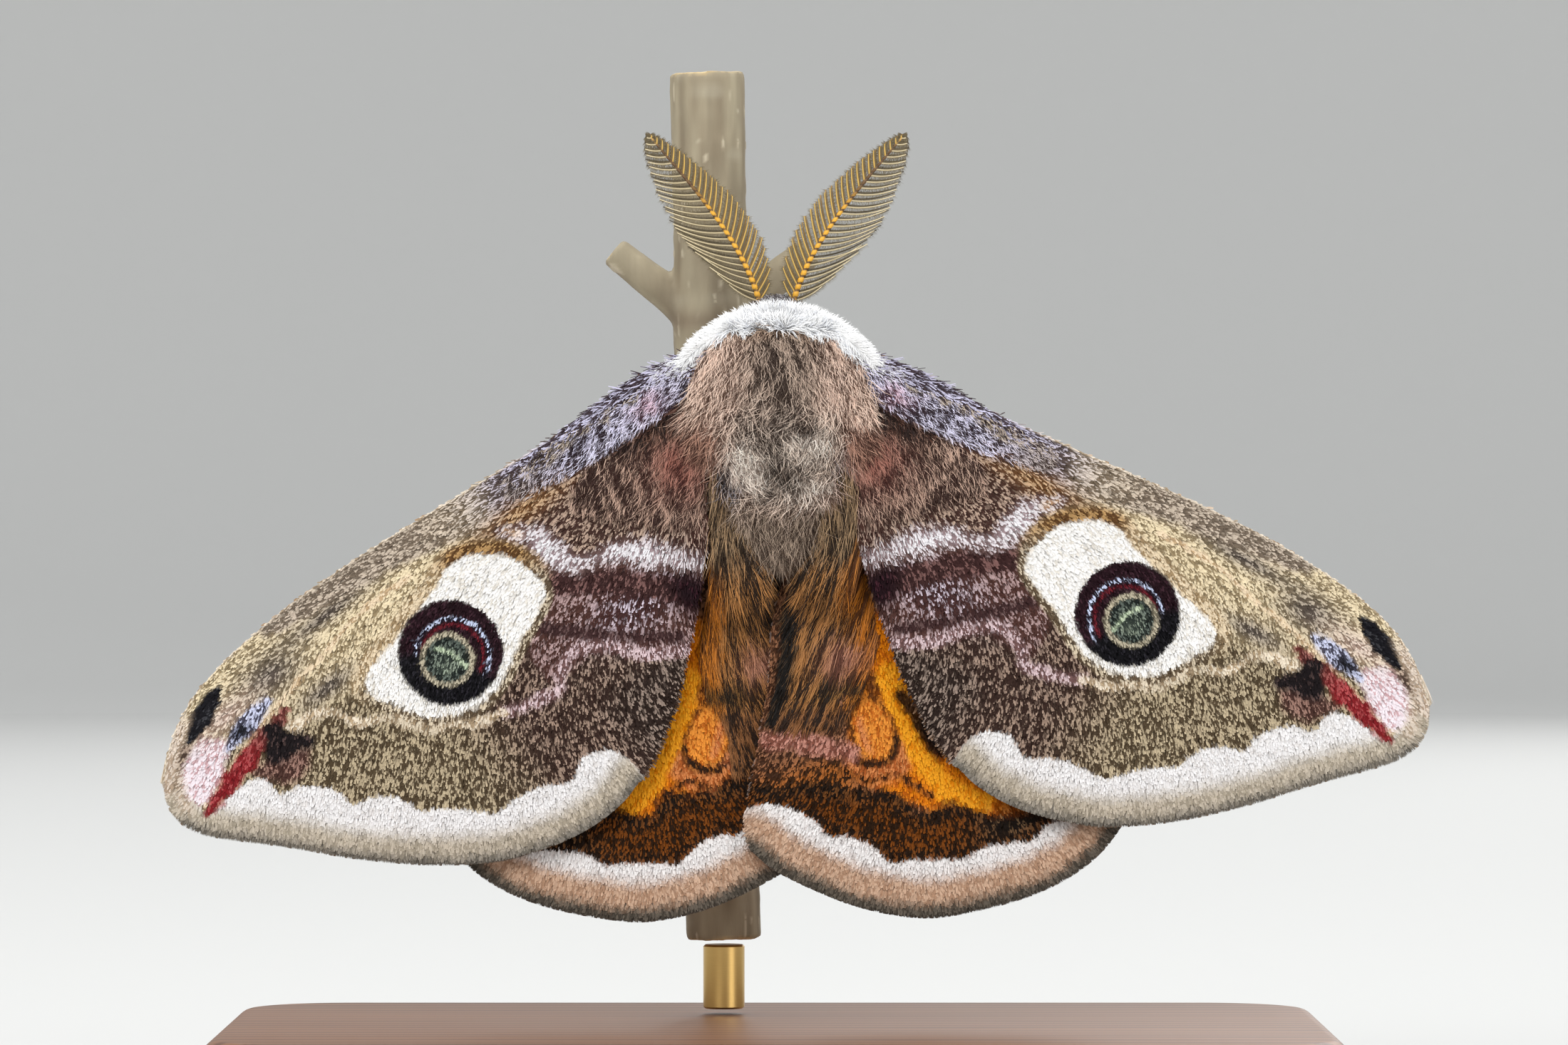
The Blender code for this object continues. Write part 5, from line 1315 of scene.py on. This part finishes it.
def forewing_hair():
    """Fine hair on the forewings' roots, falling outward and down."""
    for wing in WINGS[:2]:
        rng = np.random.default_rng(75 + wing.side)
        for name, field, count, coat_of, fall, long in (
                ("base", FORE_HAIR_FIELD, FORE_HAIR_COUNT, base_hair_coat, 2.4, (1.5, 0.7)),
                ("costal", COSTAL_HAIR_FIELD, COSTAL_HAIR_COUNT, costal_hair_coat, 0.6, (0.75, 0.5))):
            flat = fur_roots(field, 2 * count, rng)
            flat = flat[rng.random(len(flat)) < np.interp(flat[:, 0], (0, 11), (1.0, 0.35))][:count]
            forewing_hair_piece(wing, f"{wing.name}_{name}_hair", flat, rng, coat_of, fall, long)


def forewing_hair_piece(wing, name, flat, rng, coat_of, fall, long):
    """Hair over one field of a forewing; fall turns it down, long is its length near the body and far out."""
    count, out = len(flat), flat[:, 0]
    roots = wing.place(flat, np.full(count, MEMBRANE + 0.05))
    x, z = roots[:, 0], roots[:, 2]
    near_body = np.abs(x) < 6
    roots[near_body, 1] = np.minimum(roots[near_body, 1], dorsal(x[near_body], z[near_body]))
    ahead = np.array((wing.side * math.cos(wing.angle), 0, -math.sin(wing.angle)))
    wave = 0.35 * noise(flat, 0.9, 79) + 0.25 * noise(flat, 0.35, 80)
    lie = ahead + np.stack([wave, 0 * out, np.full(count, -fall)], -1) + rng.normal(0, 0.2, (count, 3))
    length = np.interp(out, (0, 8), long) * rng.uniform(0.6, 1.2, count)
    ragged = flat + 0.35 * np.stack([noise(flat, 0.5, 81), noise(flat, 0.5, 82)], -1)
    chance = streaks(flat, lie[:, (0, 2)], rng, HAIR_STREAK)
    tip = coat_of(ragged).pick(chance, rng.random(count)) * FORE_HAIR_LEVEL
    strands(name, roots, np.tile(TOWARDS_VIEWER, (count, 1)), lie, length, FINE_HAIR,
            0.2 * rng.uniform(0.4, 1.5, count), tip * 0.55, tip, on_map(wing.shape, flat, np.zeros((1, 2))),
            "forewing", 77 + wing.side, gather=0.25, lock_size=0.4, curl=0.2)


# Tubes for feelers, legs and stem
def tubes(paths, radii, sides=6):
    """Closed tapering tubes round many paths at once: points, triangles, and the points of each tube."""
    count, stations, _ = paths.shape
    ahead = normalised(np.gradient(paths, axis=1))
    upright = np.abs(ahead[..., 1:2]) < 0.9
    helper = np.where(upright, np.array((0.0, 1.0, 0.0)), np.array((1.0, 0.0, 0.0)))
    across = normalised(np.cross(ahead, helper))
    up = np.cross(ahead, across)
    turns = np.arange(sides) * 2 * math.pi / sides
    ring = (across[:, :, None] * np.cos(turns)[None, None, :, None]
            + up[:, :, None] * np.sin(turns)[None, None, :, None])
    body = paths[:, :, None] + ring * radii[:, :, None, None]
    points = np.concatenate([body.reshape(count, -1, 3), paths[:, :1], paths[:, -1:]], axis=1)
    each = stations * sides + 2
    quads = grid_faces(stations, sides, closed=True)
    k = np.arange(sides)
    first = np.stack([np.full(sides, each - 2), (k + 1) % sides, k], -1)
    start = (stations - 1) * sides
    last = np.stack([np.full(sides, each - 1), start + k, start + (k + 1) % sides], -1)
    faces = np.concatenate([quads[:, (0, 1, 2)], quads[:, (0, 2, 3)], first, last])
    return points.reshape(-1, 3), copies_of(faces, count, each), each


ANTENNA_CONTROLS = [(0.75, 0.7, 42.1), (1.5, 0.6, 45.6), (4.2, 0.0, 48.4), (6.65, -0.4, 51.3)]
ANTENNA_SEGMENTS = 27
RAMUS_LENGTH, RAMUS_INNER_SHARE, RAMUS_LEAN, RAMUS_CURL = 2.5, 0.70, 0.60, 0.34
RAMUS_SIZES = ((0.0, 0.08, 0.2, 0.4, 0.6, 0.8, 0.93, 1.0), (0.4, 0.78, 1.02, 1.0, 0.80, 0.52, 0.27, 0.08))
RAMUS_RADII = (0.05, 0.042, 0.024)
RAMUS_AT = np.linspace(0, 1, 9)
CILIA_PER_SIDE = 64


def antenna_at(side, at):
    """Points of the antenna's middle line at fractions along it."""
    points = bezier(ANTENNA_CONTROLS, at)
    points[..., 0] = side * points[..., 0] + HEAD_CENTRE[0]
    return points


def antenna_shaft(side):
    """A jointed stalk with yellow scales on the lower segments."""
    at = np.linspace(0, 1, ANTENNA_SEGMENTS * 6 + 1)
    beat = np.abs(np.sin(math.pi * at * ANTENNA_SEGMENTS))
    shaft = antenna_at(side, at)
    points, faces, _ = tubes(shaft[None], ((0.15 - 0.09 * at) * (0.8 + 0.35 * beat))[None], 12)
    at = np.interp(points[:, 2], shaft[:, 2], at)
    beat = np.abs(np.sin(math.pi * at * ANTENNA_SEGMENTS))
    facing = points[:, 1] < np.interp(points[:, 2], shaft[:, 2], shaft[:, 1]) + 0.02
    colours = np.tile(srgb(140, 104, 56), (len(points), 1))
    colours = mix(colours, srgb(92, 66, 40), smooth((at - 0.45) / 0.2) * 0.8)
    gold = facing * smooth((beat - 0.4) / 0.25) * smooth((0.72 - at) / 0.2)
    colours = mix(colours, srgb(232, 172, 52), gold)
    colours = mix(colours, srgb(70, 46, 28), smooth((0.38 - beat) / 0.2) * smooth((at - 0.05) / 0.1))
    return points, faces, mix(colours, srgb(206, 164, 96), smooth((at - 0.93) / 0.05))


def antenna_rami(side, rng):
    """Middle lines of the side branches, two pairs to a segment, with the pair and the edge of each."""
    lines, pairs, edges = [], [], []
    for i in range(1, ANTENNA_SEGMENTS):
        size = float(np.interp(i / (ANTENNA_SEGMENTS - 1), *RAMUS_SIZES))
        for pair, edge in itertools.product((0, 1), (-1, 1)):
            spot = min((i + 0.5 + 0.3 * pair) / ANTENNA_SEGMENTS, 0.99)
            root, later = antenna_at(side, np.array([spot, spot + 0.01]))
            ahead = (later - root) / np.linalg.norm(later - root)
            across = normalised(np.array((ahead[2], 0, -ahead[0]))) * edge
            inward = edge * side < 0
            length = RAMUS_LENGTH * size * (RAMUS_INNER_SHARE if inward else 1.0) * rng.uniform(0.97, 1.03)
            lean = normalised(across + ahead * (RAMUS_LEAN + 0.25 * inward + 0.03 * rng.normal()))
            bend = RAMUS_CURL * length * (0.4 if inward else 1.0)
            line = root + lean * (length * RAMUS_AT)[:, None] + ahead * (bend * RAMUS_AT ** 2.6)[:, None]
            line[:, 1] += (0.24 * pair - 0.06) * np.sin(math.pi / 2 * np.minimum(3 * RAMUS_AT, 1))
            lines.append(line)
            pairs.append(pair)
            edges.append(inward)
    return np.array(lines), np.array(pairs), np.array(edges)


def antenna(side_name):
    """The stalk with two rows of fine side branches to each side."""
    side = SIDES[side_name]
    rng = np.random.default_rng(81 + side)
    lines, pairs, inner = antenna_rami(side, rng)
    radii = np.tile(np.interp(RAMUS_AT, (0, 0.6, 1), RAMUS_RADII), (len(lines), 1))
    points, faces, each = tubes(lines, radii, 5)
    pair, gold = np.repeat(pairs, each), np.repeat(inner, each).astype(float)
    local = np.tile(np.append(np.repeat(RAMUS_AT, 5), (0, 1)), len(lines))
    # painted shade: the back row of each segment's rami is darker, as the shade beneath the front row; the
    # pale outer ones much darker, the golden inner ones a little
    front = mix(np.tile(srgb(188, 172, 136), (len(pair), 1)), srgb(204, 166, 84), gold)
    behind = mix(np.tile(srgb(66, 58, 44), (len(pair), 1)), srgb(176, 136, 66), gold)
    colours = mix(front, behind, pair)
    colours = mix(colours, srgb(222, 206, 168), (1 - pair) * (1 - gold) * smooth((local - 0.6) / 0.3))
    shaft_points, shaft_faces, shaft_colours = antenna_shaft(side)
    obj = new_piece(f"antenna_{side_name}_comb", np.concatenate([shaft_points, points]),
                    np.concatenate([shaft_faces, faces + len(shaft_points)]),
                    np.concatenate([shaft_colours, colours]), MATERIALS["horn"])
    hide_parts(f"antenna_{side_name}")
    antenna_cilia(side_name, lines, rng)


def antenna_cilia(side_name, lines, rng):
    """Fine dark hairs along both edges of every side branch."""
    at = np.linspace(0.05, 0.98, CILIA_PER_SIDE)
    cell = np.minimum((at * (len(RAMUS_AT) - 1)).astype(int), len(RAMUS_AT) - 2)
    share = (at * (len(RAMUS_AT) - 1) - cell)[None, :, None]
    base = lines[:, cell] * (1 - share) + lines[:, cell + 1] * share
    run = normalised(lines[:, cell + 1] - lines[:, cell])
    off = normalised(np.cross(run, np.array(TOWARDS_VIEWER)))
    base, run = np.concatenate([base, base], 1), np.concatenate([run, run], 1)
    off = np.concatenate([off, -off], 1)
    length = rng.uniform(0.16, 0.30, base.shape[:2])[..., None]
    tip = base + normalised(off + run * 0.45 + rng.normal(0, 0.14, base.shape)) * length
    points = np.stack([base - run * 0.012, base + run * 0.012, tip], axis=2).reshape(-1, 3)
    colours = np.tile(srgb(116, 104, 80), (len(points), 1))
    comb = np.repeat(np.arange(len(lines)), 2 * CILIA_PER_SIDE)
    root = np.stack([0.01 + 0.98 * (comb + 0.5) / len(lines), np.tile(0.02 + 0.96 * at, 2 * len(lines))], -1)
    offsets = np.array([(-0.5, -0.5), (0.5, -0.5), (0.0, 0.5)])
    bake = (root[:, None] + offsets[None] * TUFT_PATCH).reshape(-1, 2)
    new_piece(f"antenna_{side_name}_cilia", points, np.arange(len(points)).reshape(-1, 3), colours,
              MATERIALS["hair"], bake)


LEG_PAIRS = {"fore": (38.4, 37.9), "mid": (36.4, 36.2), "hind": (34.6, 32.6)}
LEG_ROOT_X, LEG_ROOT_Y, LEG_KNEE_OUT, LEG_KNEE_Y, LEG_KNEE_DROP = 1.5, 1.2, 1.5, 5.0, 1.2
LEG_STATIONS, FOOT_STATIONS, FOOT_JOINTS, CLAW_STATIONS = 9, 26, 5, 7
LEG_HAIR_COUNT = 1100
PERCH_RADIUS, PERCH_Y, PERCH_BOTTOM, PERCH_TOP = 2.1, 8.0, 9.0, 55.0
PERCH_FOOT_X, PERCH_LEAN, PERCH_JOINT = -2.57, -0.0195, 41.4
STUB_RADIUS, STUB_LENGTH = 0.85, 4.6
GRIP_GAP, FOOT_RADIUS, TARSUS_REACH = 0.45, 0.36, 1.4


def perch_x(z):
    """Where the middle of the stem lies at a height."""
    return PERCH_FOOT_X + PERCH_LEAN * z


def leg_path(pair, side):
    """The middle line of thigh, shin and foot, the leg's radius along it, and the tip of the foot."""
    root_z, foot_z = LEG_PAIRS[pair]
    grip = perch_x(foot_z) + side * (PERCH_RADIUS + FOOT_RADIUS + GRIP_GAP)
    knee_x = (grip if side < 0 else side * LEG_ROOT_X) + side * LEG_KNEE_OUT
    root = np.array((side * LEG_ROOT_X, LEG_ROOT_Y, root_z))
    knee = np.array((knee_x, LEG_KNEE_Y, root_z * 0.6 + foot_z * 0.4 - LEG_KNEE_DROP))
    ankle = np.array((grip, PERCH_Y - 1.2, foot_z))
    toe = ankle + np.array((0, TARSUS_REACH, (foot_z - root_z) * 0.2))
    at, foot_at = np.linspace(0, 1, LEG_STATIONS), np.linspace(0, 1, FOOT_STATIONS)
    thigh = root + (knee - root) * at[:, None]
    shin = knee + (ankle - knee) * at[:, None]
    foot = ankle + (toe - ankle) * foot_at[:, None]
    radii = np.concatenate([np.interp(at, (0, 0.35, 1), (0.36, 0.42, 0.25)),
                            np.interp(at[1:], (0, 0.5, 1), (0.26, 0.30, 0.20)),
                            0.17 + 0.05 * np.abs(np.sin(foot_at[1:] * FOOT_JOINTS * math.pi))])
    return np.concatenate([thigh, shin[1:], foot[1:]]), radii, toe


def claws(toe, side):
    """Two small claws that hook in to the bark."""
    bend = np.linspace(0, 1, CLAW_STATIONS)[:, None]
    paths = [toe + bend * np.array((-side * 0.26, 0.24, spread * 0.2))
             + bend ** 2 * np.array((-side * 0.36, 0.0, 0.0)) for spread in (-1, 1)]
    points, faces, _ = tubes(np.array(paths), np.tile(np.linspace(0.06, 0.012, CLAW_STATIONS), (2, 1)), 6)
    return points, faces


def leg(pair, side_name):
    """Thigh, shin and a five-jointed foot with claws, under short hair."""
    side, name = SIDES[side_name], f"leg_{pair}_{side_name}"
    path, radii, toe = leg_path(pair, side)
    points, faces, _ = tubes(path[None], radii[None], 12)
    claw_points, claw_faces = claws(toe, side)
    colours = np.tile(srgb(92, 62, 46), (len(points), 1)) * (1 + 0.2 * noise(points, 0.4, 12))[:, None]
    claw_colours = np.tile(srgb(40, 26, 20), (len(claw_points), 1))
    obj = new_piece(f"{name}_limb", np.concatenate([points, claw_points]),
                    np.concatenate([faces, claw_faces + len(points)]),
                    np.concatenate([colours, claw_colours]), MATERIALS["horn"])
    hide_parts(name)
    leg_hair(f"{name}_hair", path, radii, 91 + 2 * list(LEG_PAIRS).index(pair) + side)


def leg_hair(name, path, radii, seed):
    """Hair lying down the leg, longer on thigh and shin than on the foot."""
    rng = np.random.default_rng(seed)
    count = LEG_HAIR_COUNT
    spot = rng.random(count) ** 1.1 * (len(path) - 1.001)
    i = spot.astype(int)
    share = (spot - i)[:, None]
    middle = path[i] * (1 - share) + path[i + 1] * share
    ahead = normalised(path[i + 1] - path[i])
    turn = rng.uniform(0, 2 * math.pi, count)[:, None]
    across = normalised(np.cross(ahead, np.array((0.3, 0.2, 0.93))))
    outward = across * np.cos(turn) + np.cross(ahead, across) * np.sin(turn)
    roots = middle + outward * (radii[i] * 0.9)[:, None]
    on_foot = i > 2 * (LEG_STATIONS - 1)
    length = np.where(on_foot, 0.28, 0.95) * rng.uniform(0.7, 1.2, count)
    tip = Coat(count, (92, 64, 50), (168, 128, 104), 0.5).pick(rng.random(count), rng.random(count))
    bake = np.stack([0.02 + 0.96 * spot / len(path), 0.02 + 0.96 * turn[:, 0] / (2 * math.pi)], -1)
    strands(name, roots, outward, ahead + rng.normal(0, 0.12, ahead.shape), length, 0.05,
            np.where(on_foot, 0.05, 0.16), tip * 0.65, tip, bake, "leg", 95 + i[0], gather=0.2)


def eyes():
    """Round compound eyes with a fine net of facets."""
    for name, side in SIDES.items():
        bm = bmesh.new()
        bmesh.ops.create_uvsphere(bm, u_segments=48, v_segments=32, radius=EYE_BALL_RADIUS)
        centre = HEAD_CENTRE + np.array((side * EYE_OFFSET[0], EYE_OFFSET[1], EYE_OFFSET[2]))
        points = np.array([v.co[:] for v in bm.verts]) + centre
        bmesh.ops.triangulate(bm, faces=bm.faces[:])
        faces = np.array([[v.index for v in f.verts] for f in bm.faces])
        bm.free()
        colours = np.tile(srgb(34, 24, 22), (len(points), 1))
        obj = new_piece(f"eye_{name}_globe", points, faces, colours, MATERIALS["eye"])
        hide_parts(f"eye_{name}")


def add_tube(bm, path, radii, sides=40):
    """One tube round a path, added to a mesh that is being built."""
    points, faces, _ = tubes(path[None], radii[None], sides)
    made = [bm.verts.new(p) for p in points]
    for face in faces:
        bm.faces.new([made[k] for k in face])


PERCH_STATIONS, TWIG_STATIONS = 60, 12
BARK_VOXEL, BARK_SOFTENING, BARK_CUT = 0.2, 3, 0.22


def twig(side):
    """Where a pruned side twig leaves the perch, and its direction."""
    start = np.array((perch_x(PERCH_JOINT), PERCH_Y, PERCH_JOINT))
    return start, normalised(np.array((side * 0.78, 0, 0.62)))


def perch_form():
    """The stem, a little swollen at its joint, and two side twigs, fused into one skin."""
    bm = bmesh.new()
    z = np.linspace(PERCH_BOTTOM, PERCH_TOP, PERCH_STATIONS)
    swell = 0.22 * np.exp(-((z - PERCH_JOINT) / 1.4) ** 2)
    path = np.stack([perch_x(z), np.full(len(z), PERCH_Y), z], -1)
    add_tube(bm, path, PERCH_RADIUS - 0.12 + swell * 0.5)
    for side in SIDES.values():
        start, lean = twig(side)
        whole = PERCH_RADIUS + STUB_LENGTH
        reach = np.linspace(0, whole, TWIG_STATIONS)
        radii = np.interp(reach, (0, PERCH_RADIUS, whole), (1.5, 1.02, STUB_RADIUS * 0.98))
        add_tube(bm, start + lean * reach[:, None], radii, 28)
    return remeshed(bm, BARK_VOXEL, BARK_SOFTENING)


def perch():
    """A cut stem with a slightly swollen joint and two pruned side twigs, its bark lined and dotted."""
    points, faces, normals = perch_form()
    around = np.arctan2(points[:, 0] - perch_x(points[:, 2]), points[:, 1] - PERCH_Y)
    streak = np.stack([around * 2.1, points[:, 2] * 0.16, points[:, 1] * 0.2], -1)
    fine = np.stack([around * 4.0, points[:, 2] * 0.5, points[:, 1] * 0.5], -1)
    relief = 0.05 * noise(streak, 0.5, 61) + 0.03 * noise(points, 0.7, 62)
    dots = smooth((noise(fine, 0.42, 63) - 0.62) / 0.15)
    points = points + normals * (relief + 0.05 * dots)[:, None]
    colours = np.tile(srgb(168, 157, 132), (len(points), 1))
    colours = mix(colours, srgb(126, 113, 92), 0.5 + 0.5 * noise(streak, 0.45, 64))
    colours = mix(colours, srgb(182, 173, 152), smooth((noise(points, 1.1, 65) - 0.2) / 0.6) * 0.35)
    colours = mix(colours, srgb(196, 184, 160), dots * 0.8)
    joint = np.exp(-((points[:, 2] - PERCH_JOINT - 0.4) / 0.5) ** 2)
    colours = cut_ends(mix(colours, srgb(104, 84, 66), joint * 0.5), points)
    obj = new_piece("perch_bark", points, faces, colours, MATERIALS["bark"])
    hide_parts("perch")


def cut_ends(colours, points):
    """The cut faces of the two side twigs and of the stem's top and bottom."""
    for side in SIDES.values():
        start, lean = twig(side)
        past = (points - start) @ lean - (PERCH_RADIUS + STUB_LENGTH - BARK_CUT)
        gap = np.linalg.norm(np.cross(points - start, lean), axis=1)
        colours = cut_wood(colours, past, gap, STUB_RADIUS)
    z = points[:, 2]
    for past, end in ((z - PERCH_TOP + BARK_CUT, PERCH_TOP), (PERCH_BOTTOM + BARK_CUT - z, PERCH_BOTTOM)):
        gap = np.hypot(points[:, 0] - perch_x(end), points[:, 1] - PERCH_Y)
        colours = cut_wood(colours, past, gap, PERCH_RADIUS)
    return colours


def cut_wood(colours, past, gap, radius):
    """Pale wood with year rings on a cut end, round a small pith."""
    rings = 0.5 + 0.5 * np.cos(gap / 0.26 * 2 * math.pi)
    wood = mix(np.tile(srgb(216, 196, 152), (len(gap), 1)), srgb(182, 156, 112), rings)
    wood = mix(wood, srgb(140, 110, 76), smooth((0.34 - gap) / 0.12))
    inside = smooth((radius - 0.16 - gap) / 0.12)
    return mix(colours, wood, smooth(past / 0.12) * inside)


def wood_material():
    """Oiled wood with a long, slightly wavy grain along the base."""
    material = bpy.data.materials.new("stand_wood_look")
    material.use_nodes = True
    shader = set_inputs(material.node_tree.nodes["Principled BSDF"], Roughness=0.42, Coat_Weight=0.15,
                        Coat_Roughness=0.35)
    where = add_node(material, "TexCoord")
    mapping = add_node(material, "Mapping", Scale=(26, 300, 300))
    grain = add_node(material, "TexNoise", Scale=1.0, Detail=8, Roughness=0.62, Distortion=0.8)
    rings = add_node(material, "TexWave", Scale=0.55, Distortion=6.0, Detail=3)
    rings.bands_direction = "Y"
    both = add_node(material, "Math")
    both.operation = "ADD"
    ramp = add_node(material, "ValToRGB")
    dark, light = ramp.color_ramp.elements
    dark.position, dark.color = 0.55, (*srgb(98, 63, 42), 1)
    light.position, light.color = 1.0, (*srgb(134, 91, 61), 1)
    join(material, (where, "Object", mapping, "Vector"), (mapping, "Vector", grain, "Vector"),
         (mapping, "Vector", rings, "Vector"), (grain, "Fac", both, 0), (rings, "Fac", both, 1),
         (both, "Value", ramp, "Fac"), (ramp, "Color", shader, "Base Color"))
    add_relief(material, grain, "Fac", 0.25, 0.0002)
    return material


PLATE_CORNER, PLATE_BEVEL, PLATE_FOOT = 6.0, 0.9, 0.25
PLATE_CORNER_STEPS, PLATE_BEVEL_STEPS = 18, 8
ROD_CHAMFER, ROD_EDGE = 0.1, 0.12


def plate_outline(size, inset, z):
    """A rectangle with round corners, drawn in by an inset, at one height."""
    outline = []
    for quarter, signs in enumerate(((1, 1), (-1, 1), (-1, -1), (1, -1))):
        middle = np.array(signs) * (size[:2] / 2 - PLATE_CORNER)
        for a in np.linspace(0, math.pi / 2, PLATE_CORNER_STEPS):
            turn = a + quarter * math.pi / 2
            rim = middle + (PLATE_CORNER - inset) * np.array((math.cos(turn), math.sin(turn)))
            outline.append((*rim, z))
    return outline


def stand_plate():
    """A wooden plate with round corners and a rounded upper edge."""
    low, high = (np.array(corner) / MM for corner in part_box("stand_base"))
    profile = [(PLATE_FOOT, low[2]), (0.0, low[2] + PLATE_FOOT), (0.0, high[2] - PLATE_BEVEL)]
    profile += [(PLATE_BEVEL * (1 - math.cos(a)), high[2] - PLATE_BEVEL * (1 - math.sin(a)))
                for a in np.linspace(0, math.pi / 2, PLATE_BEVEL_STEPS)[1:]]
    rows = [plate_outline(high - low, inset, z) for inset, z in profile]
    columns = len(rows[0])
    points = np.array(rows).reshape(-1, 3)
    points[:, :2] += (low + high)[:2] / 2
    faces = grid_faces(len(rows), columns, closed=True)
    caps = [list(range(columns - 1, -1, -1)), [columns * (len(rows) - 1) + k for k in range(columns)]]
    plate = plain_object("stand_base_plate", points, faces.tolist() + caps, wood_material(), 40)
    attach(plate, BODY)
    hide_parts("stand_base")


def stand_rod():
    """The short brass rod that carries the perch."""
    low, high = (np.array(corner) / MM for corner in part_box("stand_rod"))
    radius, middle = (high - low)[0] / 2, (low + high) / 2
    z = np.array([low[2], low[2] + ROD_CHAMFER, low[2] + ROD_EDGE,
                  high[2] - ROD_EDGE, high[2] - ROD_CHAMFER, high[2]])
    radii = np.array([radius - ROD_CHAMFER, radius, radius, radius, radius, radius - ROD_CHAMFER])
    path = np.stack([np.full(6, middle[0]), np.full(6, middle[1]), z], -1)
    points, faces, _ = tubes(path[None], radii[None], 64)
    colours = np.tile(srgb(204, 170, 106), (len(points), 1))
    rod = new_piece("stand_rod_brass", points, faces, colours, MATERIALS["brass"])
    rod.data.set_sharp_from_angle(angle=math.radians(30))
    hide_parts("stand_rod")


def plain_object(name, points, faces, material, sharp_angle):
    """An object from millimetre points, without paint, smooth but for edges sharper than an angle."""
    mesh = bpy.data.meshes.new(name)
    mesh.from_pydata((points * MM).tolist(), [], faces)
    mesh.shade_smooth()
    mesh.set_sharp_from_angle(angle=math.radians(sharp_angle))
    mesh.materials.append(material)
    obj = bpy.data.objects.new(name, mesh)
    bpy.context.scene.collection.objects.link(obj)
    return obj


def facet_material():
    """Glossy dark eye with a net of small facets."""
    material = new_material("eye_look", 0.22, variation=0.2, grain=400.0, coat=0.5)
    facets = add_node(material, "TexVoronoi", Scale=14000)
    relief = add_relief(material, facets, "Distance", 0.4, 0.00002)
    relief.invert = True
    join(material, (add_node(material, "TexCoord"), "Object", facets, "Vector"))
    return material


MATERIALS = {
    "membrane": new_material("membrane_look", 0.8, gloss=0.05, variation=0.12, grain=9000.0, bump=0.3),
    "scale": new_material("scale_look", 0.6, gloss=0.07, variation=0.10, grain=6000.0),
    "hair": new_material("hair_look", 0.55, gloss=0.18, variation=0.10, grain=3000.0),
    "skin": new_material("skin_look", 0.85, gloss=0.1, variation=0.25, grain=4000.0, bump=0.5),
    "horn": new_material("horn_look", 0.5, variation=0.15, grain=5000.0, bump=0.2),
    "bark": new_material("bark_look", 0.8, variation=0.2, grain=1600.0, bump=0.6, stretch=(1.0, 1.0, 0.25)),
    "brass": new_material("brass_look", 0.3, variation=0.06, grain=2500.0, metallic=1.0,
                          stretch=(1.0, 1.0, 12.0)),
    "eye": facet_material(),
}


FLOOR_RADIUS, FLOOR_TURN, WALL_TOP, FLOOR_SIDES = 900.0, 420.0, 900.0, 96
LIT_POINT = Vector((0, 0, 0.031))
LIGHTS = (("key", (-0.30, -0.55, 0.45), 0.50, 3.7), ("fill", (0.50, -0.50, 0.22), 0.50, 1.8),
          ("top", (0.0, 0.05, 0.75), 0.60, 2.2), ("back", (0.25, 0.65, 0.40), 0.50, 1.5))


def studio_floor():
    """A pale bowl: a flat floor that turns up into a wall all round."""
    profile = [(FLOOR_RADIUS, 0.0)]
    profile += [(FLOOR_RADIUS + FLOOR_TURN * math.sin(a), FLOOR_TURN * (1 - math.cos(a)))
                for a in np.linspace(0, math.pi / 2, 14)[1:]]
    profile.append((FLOOR_RADIUS + FLOOR_TURN, WALL_TOP))
    turns = np.arange(FLOOR_SIDES) * 2 * math.pi / FLOOR_SIDES
    rings = [[(r * math.cos(a), r * math.sin(a), z) for a in turns] for r, z in profile]
    faces = grid_faces(len(rings), FLOOR_SIDES, closed=True).tolist() + [list(range(FLOOR_SIDES))]
    material = bpy.data.materials.new("studio_look")
    material.use_nodes = True
    set_inputs(material.node_tree.nodes["Principled BSDF"], Base_Color=(0.66, 0.66, 0.645, 1), Roughness=0.9)
    plain_object("studio_floor", np.array(rings).reshape(-1, 3), faces, material, 25)


def studio_light():
    """Four large soft lights and a pale sky."""
    for name, place, size, power in LIGHTS:
        data = bpy.data.lights.new(name, "AREA")
        data.energy, data.size, data.shape = power, size, "DISK"
        lamp = bpy.data.objects.new(name, data)
        lamp.location = place
        lamp.rotation_euler = (LIT_POINT - Vector(place)).to_track_quat("-Z", "Y").to_euler()
        bpy.context.scene.collection.objects.link(lamp)
    world = bpy.data.worlds.new("studio_sky")
    world.use_nodes = True
    set_inputs(world.node_tree.nodes["Background"], Color=(0.95, 0.97, 1.0, 1), Strength=0.65)
    bpy.context.scene.world = world
    bpy.context.scene.view_settings.view_transform = "Standard"


def camera():
    """Level, square to the wings, framed as the photograph is."""
    data = bpy.data.cameras.new("camera")
    width = PHOTO_WIDTH / PIXELS_PER_MM
    data.sensor_width = SENSOR_WIDTH
    data.lens = SENSOR_WIDTH * CAMERA_DISTANCE / width
    data.clip_start, data.clip_end = 0.01, 10
    cam = bpy.data.objects.new("camera", data)
    x = (PHOTO_WIDTH / 2 - PHOTO_X0) / PIXELS_PER_MM
    z = PHOTO_FOOT + (PHOTO_Z0 - PHOTO_HEIGHT / 2) / PIXELS_PER_MM
    cam.location = Vector((x, -CAMERA_DISTANCE, z)) * MM
    cam.rotation_euler = (math.pi / 2, 0, 0)
    bpy.context.scene.collection.objects.link(cam)
    bpy.context.scene.camera = cam


camera()
studio_floor()
studio_light()
for each_wing in WINGS:
    wing_skin(each_wing)
    wing_scales(each_wing)
    wing_scales(each_wing, under=True)
    wing_fringe(each_wing)
body = body_skin()
cape_hair()
wool_hair()
back_hair(body)
collar_hair()
collar_wisps()
hindwing_hair()
forewing_hair()
eyes()
for side_label in SIDES:
    antenna(side_label)
    for pair_label in LEG_PAIRS:
        leg(pair_label, side_label)
perch()
stand_plate()
stand_rod()
